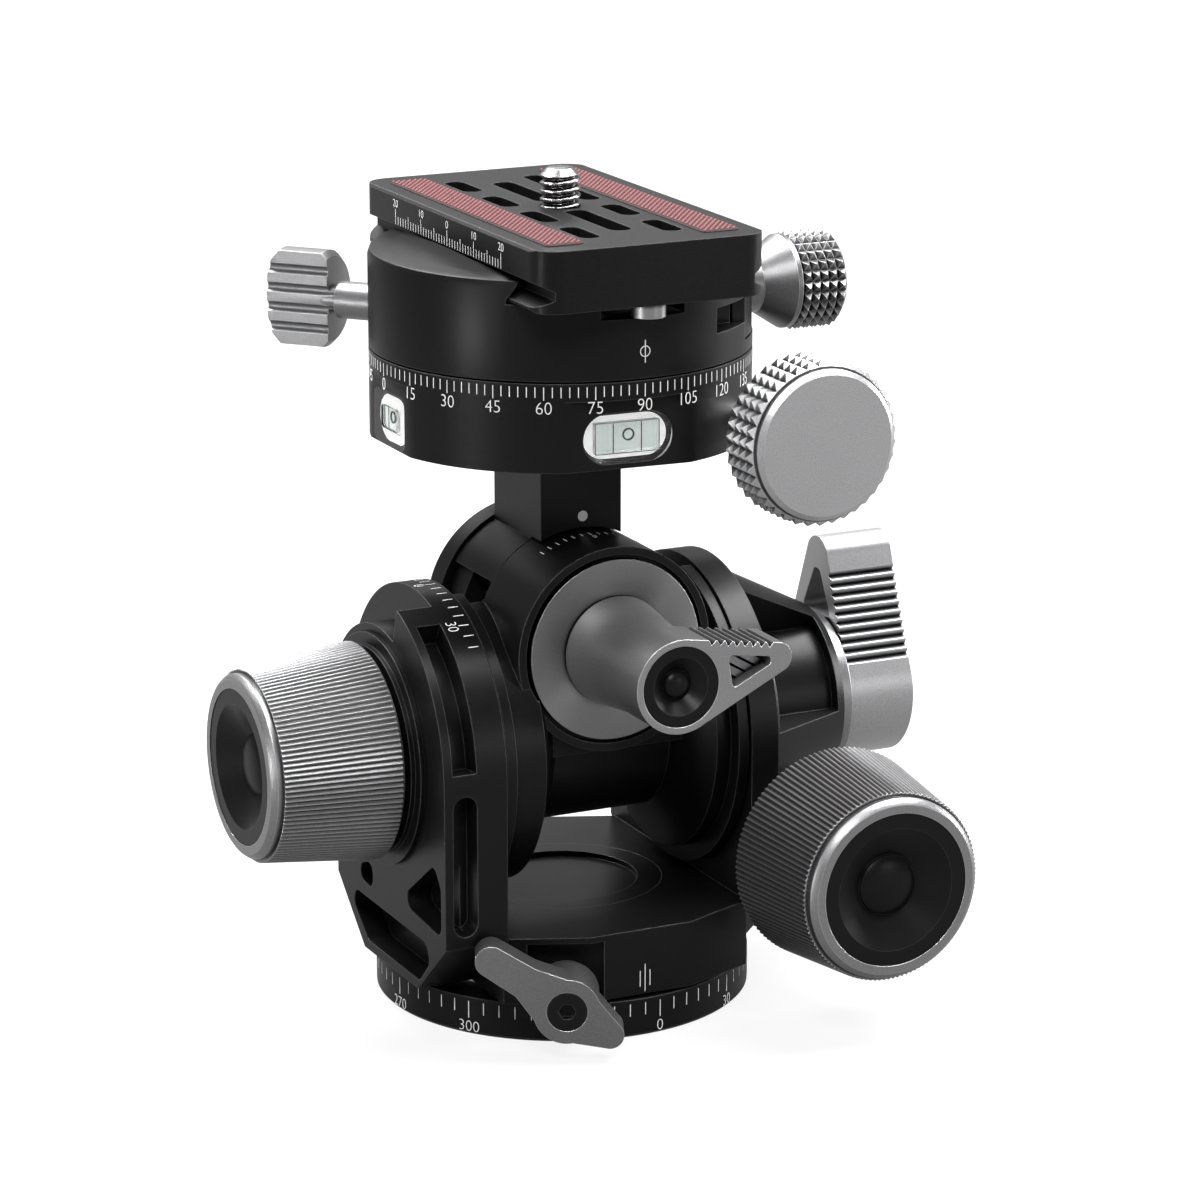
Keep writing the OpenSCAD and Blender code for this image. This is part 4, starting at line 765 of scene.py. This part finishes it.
def weave_tree():
    """Rows of small slanted knots over a pad, every other row moved by half a pitch."""
    tree, given, result = new_group(
        "GeometryNodeTree",
        "Woven knots",
        [
            ("Width", "Float", 0.0066),
            ("Length", "Float", 0.06),
            ("Pitch", "Float", 0.0009),
            ("Place", "Vector", (0, 0, 0)),
            ("Material", "Material", None),
        ],
        [("Geometry", "Geometry")],
    )
    row_share = 0.66  # distance of the rows, as a share of the pitch
    knot_shape, knot_slant = (0.62, 0.44, 0.44), math.radians(38)

    def op(kind, *values):
        return math_node(tree, kind, *values)

    pitch = given["Pitch"]
    row_pitch = op("MULTIPLY", pitch, row_share)
    columns = op("FLOOR", op("DIVIDE", given["Width"], pitch))
    rows = op("FLOOR", op("DIVIDE", given["Length"], row_pitch))
    index = geometry_node(tree, "InputIndex")
    row = op("FLOOR", op("DIVIDE", index, columns))
    column = op("SUBTRACT", index, op("MULTIPLY", row, columns))
    moved = op("ADD", column, op("MULTIPLY", op("MODULO", row, 2.0), 0.5))
    middle_column = op("MULTIPLY", op("SUBTRACT", columns, 0.5), 0.5)
    middle_row = op("MULTIPLY", op("SUBTRACT", rows, 1.0), 0.5)
    x = op("MULTIPLY", op("SUBTRACT", moved, middle_column), pitch)
    y = op("MULTIPLY", op("SUBTRACT", row, middle_row), row_pitch)
    points = points_line(tree, op("MULTIPLY", columns, rows), combined(tree, x, y))
    inputs = {"Segments": 8, "Rings": 5, "Radius": op("MULTIPLY", pitch, 0.5)}
    ball = geometry_node(tree, "MeshUVSphere", inputs)
    inputs = {"Geometry": ball, "Scale": knot_shape}
    knot = geometry_node(tree, "Transform", inputs)
    inputs = {"Points": points, "Instance": knot, "Rotation": (0, 0, knot_slant)}
    knots = geometry_node(tree, "InstanceOnPoints", inputs)
    inputs = {"Geometry": knots, "Translation": given["Place"]}
    placed = geometry_node(tree, "Transform", inputs)
    real = geometry_node(tree, "RealizeInstances", {0: placed})
    smooth = geometry_node(tree, "SetShadeSmooth", {"Geometry": real})
    feed(tree, result[0], painted(tree, smooth, given["Material"]))
    return tree


def faces_tree():
    """Welds a CAD piece's loose triangles and smooths the faces that meet under an angle."""
    tree, given, result = new_group(
        "GeometryNodeTree",
        "Smooth machined faces",
        [
            ("Geometry", "Geometry", None),
            ("Weld distance", "Float", 0.000004),
            ("Sharp angle", "Float", 0.5),
        ],
        [("Geometry", "Geometry")],
    )
    inputs = {"Geometry": given["Geometry"], "Distance": given["Weld distance"]}
    weld = geometry_node(tree, "MergeByDistance", inputs)
    inputs = {"Name": "custom_normal", 0: weld}
    plain = geometry_node(tree, "RemoveAttribute", inputs)
    smooth = geometry_node(tree, "SetShadeSmooth", {"Geometry": plain})
    angle = tree.nodes.new("GeometryNodeInputMeshEdgeAngle").outputs["Unsigned Angle"]
    compare = {"data_type": "FLOAT", "operation": "LESS_THAN"}
    inputs = {0: angle, 1: given["Sharp angle"]}
    soft = add_node(tree, "FunctionNodeCompare", inputs, **compare).outputs[0]
    inputs = {"Geometry": smooth, "Shade Smooth": soft}
    edges = geometry_node(tree, "SetShadeSmooth", inputs, domain="EDGE")
    feed(tree, result[0], edges)
    return tree


# Operators, one for each piece or group of like pieces


class HEAD_OT_finishes(bpy.types.Operator):
    """Give every machined piece of the head its finish"""

    bl_idname = "head.finishes"
    bl_label = "Finishes"

    # The grey pieces painted lighter or darker than the rest, as painted light and shade
    GREY_GAINS = {
        "pan_knob": 1.7,
        "turret_lock_knob": 0.8,
        "tilt_lock_lever": 1.6,
        "roll_lock_lever": 1.15,
        "pan_lock_lever": 0.75,
        "clamp_knob": 0.65,
    }
    TURNED_CAPS = {
        "tilt_knob_cap": (TILT_WORM_AXIS, Y_AXIS),
        "roll_knob_cap": (TILT_AXIS, X_AXIS),
        "tilt_lock_cap": (TILT_AXIS, X_AXIS),
        "roll_lock_cap": (ROLL_AXIS, Y_AXIS),
    }

    def execute(self, context):
        groups["surface"] = build_surface_group()
        groups["turning"] = build_turning_group()
        groups["scale"] = scale_tree()
        groups["weave"] = weave_tree()
        groups["faces"] = faces_tree()
        c = colours()
        by_slot = {
            "black_metal": mat_black(),
            "grey_metal": mat_grey(),
            "steel": polished("Bright stainless steel", c.steel, 0.2, (0.8, 0.8, 0.8), 0.2, 0.06, 0.08),
            "brass": polished("Turned brass", c.brass, 0.3, (0.8, 0.65, 0.4), 0.2, 0.1, 0.1, 0.5),
            "bronze_wheel": polished(
                "Machined bronze", c.bronze, 0.36, (0.7, 0.5, 0.3), 0.3, 0.12, 0.15
            ),
            "washer": surface_material(
                "Sliding washer", (0.7, 0.7, 0.66), 0.0, 0.45, (0.8, 0.8, 0.8), 0.1, 1.0, 0.1, 0.05, 0.3
            ),
        }
        slot_of = {s["node"]: s["material_slot"] for s in frame["record"]["subparts"]}
        for name, obj in nodes.items():
            mod = obj.modifiers.new("Smooth faces", "NODES")
            mod.node_group = groups["faces"]
            m = by_slot.get(slot_of.get(name))
            if m is not None:
                dress(obj, m)
        for name, (centre, axis) in self.TURNED_CAPS.items():
            dress(nodes[name], mat_cap("Cap black " + name.replace("_", " "), centre, axis))
        # The cover's grey is lighter than the black anodise: a painted highlight on the disc
        cover = turned_face("Turned black cover with painted highlight", (0.2, 0.2, 0.2), ROLL_AXIS, Y_AXIS)
        dress(nodes["front_cover"], cover)
        dull, look = (0.3, 0.3, 0.3), (0.32, (0.6, 0.6, 0.6), 0.4, 0.1, 0.2)
        dress(nodes["stop_screws"], polished("Stop screw steel", dull, *look, cavity=(1.6, 0.7)))
        # Lighter and darker copies of the titanium grey: painted light and shade
        for name, gain in self.GREY_GAINS.items():
            dress(nodes[name], mat_grey("Titanium grey " + name.replace("_", " "), gain))
        clear = mat_clear("Clear acrylic", (0.96, 0.97, 0.97))
        liquid = mat_clear("Level liquid", c.liquid, 0.01)
        for name in ("front_level", "left_level"):
            dress(nodes[name], clear)
            dress(nodes[name + "_vial"], liquid)
        return {"FINISHED"}


class HEAD_OT_scales(bpy.types.Operator):
    """Engrave the degree scales, the ruler and the index marks"""

    bl_idname = "head.scales"
    bl_label = "Scales and marks"

    def execute(self, context):
        white = mat_print()
        self.rotator_scale(white)
        self.base_scale(white)
        self.tilt_scale(white)
        self.roll_scale(white)
        self.index_marks(white)
        self.plate_ruler(white)
        return {"FINISHED"}

    def rotator_scale(self, white):
        """0 at the left, 90 at the front."""
        lo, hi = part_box("rotator_base")
        r, top = hi.x / MM, hi.z / MM
        line_top, figure_top = top - 0.5, top - 2.7
        fine, main = 1.6, 2.0
        ring = ("rotator_scale_fine", 144, 2.5, 0, r, line_top - fine / 2, fine)
        tick_ring(*ring, white, "rotator")
        ring = ("rotator_scale_main", 24, 15, 0, r + OVER, line_top - main / 2, main)
        tick_ring(*ring, white, "rotator")
        height = sizes().figure
        z = figure_top - height / 2
        shapes = [
            (*figure_mesh(str(value), height, width_share=0.95), round_z(r, 180 + value, z))
            for value in range(0, 360, 15)
        ]
        print_piece("rotator_scale_figures", shapes, white, "rotator")

    def base_scale(self, white):
        lo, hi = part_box("base_disc")
        r = hi.x / MM
        zero = -84.3  # degrees round Z, where the scale's 0 stands
        fine_z, fine, main_z, main = 4.5, 2.0, 4.12, 2.75
        figure_z, height = 1.4, 1.9
        tick_ring("base_scale_fine", 72, 5, zero, r, fine_z, fine, white, "base")
        tick_ring("base_scale_main", 12, 30, zero, r + OVER, main_z, main, white, "base")
        shapes = [
            (*figure_mesh(str(value), height, width_share=1), round_z(r, zero + value, figure_z))
            for value in range(0, 360, 30)
        ]
        print_piece("base_scale_figures", shapes, white, "base")

    def tilt_scale(self, white):
        """On the left arm's band."""
        place = Matrix.Translation(TILT_AXIS) @ Matrix.Rotation(math.radians(90), 4, "Y")
        line_x, line_length, figure_x, height = -22.6, 1.7, -24.5, 1.9
        ring = ("tilt_scale_lines", 17, 5, 140, BAND_RADIUS, line_x, line_length)
        tick_ring(*ring, white, "yoke_body", place)
        shapes = [
            (*figure_mesh(str(abs(value)), height), round_tilt(BAND_RADIUS, 90 + value, figure_x))
            for value in (-30, 0, 30)
        ]
        print_piece("tilt_scale_figures", shapes, white, "yoke_body")

    def roll_scale(self, white):
        """On the barrel in front of the neck, with its index dot on the neck."""
        place = Matrix.Translation(ROLL_AXIS) @ Matrix.Rotation(math.radians(-90), 4, "X")
        line_y, line_length, figure_y, height = -10.6, 1.4, -12.4, 1.3
        ring = ("roll_scale_lines", 13, 5, -120, BARREL_RADIUS, line_y, line_length)
        tick_ring(*ring, white, "cross", place)
        zero = (*figure_mesh("0", height), round_roll(BARREL_RADIUS, 90, figure_y))
        print_piece("roll_scale_figure", [zero], white, "cross")
        neck_front = (0.3, -7.4, 78.8)
        dot = (*disc_shape(0.85), flat_on(facing(neck_front, X_AXIS, Z_AXIS)))
        print_piece("roll_index_dot", [dot], white, "rotator")

    def index_marks(self, white):
        """A ring on a line for the turret, and three lines for the pan."""
        width, turret_index_z = 0.13, 109.6
        wrap = round_z(TURRET_RADIUS, -90, turret_index_z)
        ring = (*ring_shape(0.8, width), wrap)
        line = (*line_shape(0, -1.75, 0, 1.75, width), wrap)
        print_piece("turret_index", [ring, line], white, "turret_body")
        yoke_front = (0.7, -29.1, 9.2)
        wrap = flat_on(facing(yoke_front, X_AXIS, Z_AXIS))
        lines = ((0, -2.2, 2.3), (-0.85, -1.3, 1.3), (0.85, -1.3, 1.3))
        shapes = [(*line_shape(x, low, x, high), wrap) for x, low, high in lines]
        print_piece("pan_index", shapes, white, "yoke_body")

    def plate_ruler(self, white):
        """On the plate's left side, 20 mm to both sides of its middle."""
        lo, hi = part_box("plate")
        place = facing((lo.x / MM, 0, hi.z / MM), (0, -1, 0), Z_AXIS)
        foot, line_width, figure_y, height = -4.75, 0.12, -1.45, 1.3
        shapes = []
        for i in range(-20, 21):
            length = 2.4 if i % 10 == 0 else 1.9 if i % 5 == 0 else 1.3
            shapes.append((*line_shape(i, foot, i, foot + length, line_width), flat_on(place)))
        for i in (-20, -10, 0, 10, 20):
            wrap = flat_on(place @ Matrix.Translation((i, figure_y, 0)))
            shapes.append((*figure_mesh(str(abs(i)), height, width_share=1.2), wrap))
        print_piece("plate_ruler", shapes, white, "plate_body")


class HEAD_OT_camera_screw(bpy.types.Operator):
    """Cut the thread of the camera screw"""

    bl_idname = "head.camera_screw"
    bl_label = "Camera screw"

    # One turn of the thread as (share of the pitch, share of the depth)
    THREAD = [(0.0, 1.0), (0.14, 1.0), (0.42, 0.06), (0.5, 0.0), (0.6, 0.06), (0.88, 1.0), (1.0, 1.0)]

    def thread_height(self, t):
        t %= 1.0
        for (a, va), (b, vb) in zip(self.THREAD, self.THREAD[1:]):
            if a <= t <= b:
                return va + (vb - va) * (t - a) / (b - a)
        return 1.0

    def execute(self, context):
        lo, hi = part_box("camera_screw")
        crest, shank, point = 3.175, 2.3, 1.1  # radii of thread and shank, length of the point
        head_r, head_top, head_edge = 5.4, 119.9, 0.3
        depth, pitch = sizes().thread_depth, sizes().thread_pitch
        z0, z1 = 126.0, hi.z / MM
        steps, rows_per_turn = 72, 14
        rows = int((z1 - z0) / pitch * rows_per_turn)
        verts, faces = [], []
        for k in range(rows + 1):
            z = z0 + (z1 - z0) * k / rows
            limit = crest if z < z1 - point else crest - (z - z1 + point) * 1.02
            for i in range(steps):
                r = crest - depth + depth * self.thread_height((z - z0) / pitch - i / steps)
                verts.append((*around(min(r, limit), i, steps), z))
        for k in range(rows):
            for i in range(steps):
                faces.append(band(k * steps, (k + 1) * steps, i, (i + 1) % steps))
        verts += [(0, 0, z0), (0, 0, z1)]
        low, high = len(verts) - 2, len(verts) - 1
        for i in range(steps):
            j = (i + 1) % steps
            faces.append([low, j, i])
            faces.append([high, rows * steps + i, rows * steps + j])
        thread = mesh_piece("camera_screw_thread", verts, faces, True, 50)
        bottom = lo.z / MM
        outline = [(0, bottom), (head_r - head_edge, bottom), (head_r, bottom + head_edge)]
        outline += [(head_r, head_top - 0.2), (head_r - head_edge, head_top), (shank, head_top)]
        outline += [(shank, z0 + 0.05), (0, z0 + 0.05)]
        head = turned_piece("camera_screw_head", outline, Matrix.Identity(4), 64)
        obj = join_meshes("camera_screw_bright", [thread, head])
        # Half the steel colour: painted shade that darkens the screw under the strong lamps
        metal = [v * 0.5 for v in colours().steel]
        look = (0.26, (0.6, 0.6, 0.6), 0.3, 0.06, 0.08)
        bright = polished("Polished camera screw", metal, *look, cavity=(1.2, 0.9))
        ride_as(obj, bright, "camera_screw_body", ["camera_screw"])
        return {"FINISHED"}


class HEAD_OT_pads(bpy.types.Operator):
    """Weave the two pads on the plate"""

    bl_idname = "head.pads"
    bl_label = "Woven pads"

    WIDTH = 6.6
    CORNER = 1.4

    def knots(self, centre, length, top, cloth):
        """The knots of one pad, without those past its round corners."""
        side_gap, end_gap, below_top = 0.5, 0.9, 0.2
        values = {
            "Width": (self.WIDTH - side_gap) * MM,
            "Length": (length - end_gap) * MM,
            "Pitch": sizes().knot * MM,
            "Place": (centre * MM, 0, top - below_top * MM),
            "Material": cloth,
        }
        knots = run_tree("pad knots", groups["weave"], values)
        bm = bmesh.new()
        bm.from_mesh(knots.data)
        slack = 0.1
        corner = (self.CORNER + slack) * MM
        straight_w, straight_l = self.WIDTH / 2 * MM - corner, length / 2 * MM - corner
        gone = []
        for v in bm.verts:
            x, y = abs(v.co.x - centre * MM) - straight_w, abs(v.co.y) - straight_l
            if x > 0 and y > 0 and math.hypot(x, y) > corner + slack * MM:
                gone.append(v)
        bmesh.ops.delete(bm, geom=gone, context="VERTS")
        bm.to_mesh(knots.data)
        bm.free()
        return knots

    def backing(self, centre, length, bottom, top):
        """A dark block with round corners under one pad's knots, painted shade between the knots."""
        c = self.CORNER
        pts = []
        for sx, sy, start in ((1, 1, 0), (-1, 1, 90), (-1, -1, 180), (1, -1, 270)):
            for k in range(7):
                a = math.radians(start + 15 * k)
                x = centre + sx * (self.WIDTH / 2 - c) + c * math.cos(a)
                pts.append((x, sy * (length / 2 - c) + c * math.sin(a)))
        n = len(pts)
        verts, faces = [], []
        below_top, chamfer = 0.22, 0.1
        levels = [(bottom, 0), (top - below_top - chamfer, 0), (top - below_top, chamfer)]
        for z, inset in levels:
            in_x, in_y = 1 - inset / (self.WIDTH / 2), 1 - inset / (length / 2)
            verts.extend((centre + (x - centre) * in_x, y * in_y, z) for x, y in pts)
        for k in range(len(levels) - 1):
            faces.extend(band(k * n, (k + 1) * n, i, (i + 1) % n) for i in range(n))
        faces.append(list(range(n))[::-1])
        faces.append([(len(levels) - 1) * n + i for i in range(n)])
        return mesh_piece("pad base", verts, faces)

    def execute(self, context):
        lo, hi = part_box("plate_pads")
        cloth = mat_pad()
        length = (hi.y - lo.y) / MM
        parts, shade_backs = [], []
        for side in (-1, 1):
            centre = side * (hi.x / MM - self.WIDTH / 2)
            parts.append(self.knots(centre, length, hi.z, cloth))
            shade_backs.append(self.backing(centre, length, lo.z / MM, hi.z / MM))
        obj = join_meshes("woven_pads", parts)
        for p in obj.data.polygons:
            p.use_smooth = True
        ride_as(obj, cloth, "plate_body", ["plate_pads"])
        # Dark backing: painted shade between the knots, with a painted highlight on its edges
        c = colours().pad
        dark, edge = [v * 0.1 for v in c], [v * 0.2 for v in c]
        look = {"edge_highlight_amount": 0.1, "speckle": 0.5, "radius": 0.4, "specular": 0.2}
        back = surface_material("Pad painted shade", dark, 0.0, 0.8, edge, **look)
        ride_as(join_meshes("pad_shade_backing", shade_backs), back, "plate_body")
        return {"FINISHED"}


class HEAD_OT_levels(bpy.types.Operator):
    """Fill the two spirit levels with their bubbles and lines"""

    bl_idname = "head.levels"
    bl_label = "Spirit levels"

    def execute(self, context):
        dark, soot = (0.02, 0.02, 0.02), (0.05, 0.05, 0.05)
        line = surface_material("Level line", dark, 0.0, 0.5, dark, 0.0)
        # Dark ring standing in for the bubble's dark outline: painted shade
        bubble_outline_shade = surface_material("Bubble painted outline", (0.05, 0.06, 0.06), 0.0, 0.2, soot, 0.0)
        backing = mat_level_backing()
        line_depth, line_width, frame_width, rim_width, card_gap = 0.22, 0.16, 0.1, 0.5, 0.35
        turn, front_y, front_z = math.radians(-4), -28.2, 96.1
        right = Vector((math.cos(turn), math.sin(turn), 0))
        inward = Vector((-math.sin(turn), math.cos(turn), 0))
        front = inward * front_y + Vector((0, 0, front_z))
        # name, centre of the outer face, its right, half width and height of the frame, depth of
        # the card, half distance of the two lines beside the bubble
        for name, centre, across, half, tall, deep, gap in (
            ("front", front, right, 5.2, 2.4, 2.6, 2.3),
            ("left", (-29, -0.5, 95.7), (0, -1, 0), 3.1, 1.8, 1.7, 1.6),
        ):
            face = facing(centre, across, Z_AXIS)
            on_lines = flat_on(face @ Matrix.Translation((0, 0, -line_depth)))
            lines = [(x, -tall + 0.1, x, tall - 0.1, line_width) for x in (-gap, gap)]
            lines += [(-half, y, half, y, frame_width) for y in (-tall, tall)]
            lines += [(x, -tall, x, tall, frame_width) for x in (-half, half)]
            shapes = [(*line_shape(*ends), on_lines) for ends in lines]
            print_piece(name + "_level_lines", shapes, line, "rotator")
            lo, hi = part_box(name + "_level")
            size = (hi - lo) / MM
            wide = (size.x if name == "front" else size.y) / 2 - rim_width
            high = size.z / 2 - rim_width
            on_card = flat_on(face @ Matrix.Translation((0, 0, card_gap - deep)))
            card = (*card_shape(wide, high), on_card)
            print_piece(name + "_level_card", [card], backing, "rotator")
            section = [(0.72, -0.1), (0.98, -0.1), (0.98, 0.08), (0.72, 0.08), (0.72, -0.1)]
            place = face @ Matrix.Translation((0.15, 0.45, -0.2))
            ride_as(turned_piece(name + "_level_bubble", section, place, 40), bubble_outline_shade, "rotator")
        return {"FINISHED"}


class HEAD_OT_stage(bpy.types.Operator):
    """Set the floor, the soft lamps and the camera"""

    bl_idname = "head.stage"
    bl_label = "Stage"

    # name, place in m, size, height where the lamp isn't square, power in W
    LAMPS = (
        ("Top softbox", (0.38, -0.02, 0.9), 0.7, None, 36.0),
        ("Rear softbox", (-0.2, 0.42, 0.8), 0.5, None, 22.0),
        ("Back panel", (0.1, 0.95, 0.6), 0.9, 0.3, 1.4),
        ("Low left strip", (-1.0, -0.2, 0.05), 0.08, 0.16, 3.0),
        ("Left strip", (-0.9, -0.42, 0.3), 0.12, 0.7, 1.0),
        ("Front softbox", (0.42, -0.9, 0.22), 0.26, None, 1.0),
        ("Right strip", (0.95, -0.05, 0.2), 0.2, 0.34, 5.0),
        ("Key softbox", (-0.45, -0.75, 0.9), 0.34, None, 14.0),
    )
    LAMP_AIM = Vector((0, 0, 0.07))
    # Profile of the floor, which rises behind the head, in m
    SWEEP = [(0.0, 0.0), (2.2, 0.0), (2.35, 0.02), (2.48, 0.08), (2.57, 0.18), (2.6, 0.32), (2.6, 1.1)]

    def aimed(self, name, data, place, target):
        obj = new_object(name, data)
        obj.location = place
        obj.rotation_euler = (target - obj.location).to_track_quat("-Z", "Y").to_euler()
        return obj

    def execute(self, context):
        scene = context.scene
        cam = bpy.data.cameras.new("Camera")
        cam.lens = 135.44
        cam.sensor_width = 36.0
        eye = Vector((-293.49, -625.48, 254.09)) * MM
        scene.camera = self.aimed("Camera", cam, eye, Vector((5.57, -2.68, 63.35)) * MM)
        profile = [(r / MM, z / MM) for r, z in self.SWEEP]
        floor = turned_piece("Floor", profile, Matrix.Identity(4), 72)
        floor.data.materials.append(mat_floor())
        for name, place, size, size_y, power in self.LAMPS:
            data = bpy.data.lights.new(name, "AREA")
            data.shape = "RECTANGLE" if size_y else "SQUARE"
            data.size = size
            if size_y:
                data.size_y = size_y
            data.energy = power
            self.aimed(name, data, place, self.LAMP_AIM)
        scene.world = bpy.data.worlds.new("Studio")
        scene.world.use_nodes = True
        back = scene.world.node_tree.nodes["Background"]
        back.inputs["Color"].default_value = (1, 1, 1, 1)
        back.inputs["Strength"].default_value = 0.1
        scene.view_settings.view_transform = "Standard"
        return {"FINISHED"}


class HEAD_PT_panel(bpy.types.Panel):
    """Lists the head's sizes, colours and steps."""

    bl_idname = "HEAD_PT_panel"
    bl_label = "Geared Head"
    bl_space_type = "VIEW_3D"
    bl_region_type = "UI"
    bl_category = "Geared Head"

    def draw(self, context):
        layout = self.layout
        for group in (context.scene.head_colours, context.scene.head_sizes):
            box = layout.box()
            for key in group.__annotations__:
                box.prop(group, key)
        for cls in STEPS:
            layout.operator(cls.bl_idname)


STEPS = (
    HEAD_OT_stage,
    HEAD_OT_finishes,
    HEAD_OT_scales,
    HEAD_OT_camera_screw,
    HEAD_OT_pads,
    HEAD_OT_levels,
)
CLASSES = (HeadColours, HeadSizes) + STEPS + (HEAD_PT_panel,)


def register():
    for cls in CLASSES:
        bpy.utils.register_class(cls)
    bpy.types.Scene.head_colours = bpy.props.PointerProperty(type=HeadColours)
    bpy.types.Scene.head_sizes = bpy.props.PointerProperty(type=HeadSizes)


def unregister():
    del bpy.types.Scene.head_sizes
    del bpy.types.Scene.head_colours
    for cls in reversed(CLASSES):
        bpy.utils.unregister_class(cls)


def main():
    register()
    for cls in STEPS:
        group, name = cls.bl_idname.split(".")
        getattr(getattr(bpy.ops, group), name)()
    bpy.context.view_layer.update()
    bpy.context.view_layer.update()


if __name__ == "__main__":
    main()
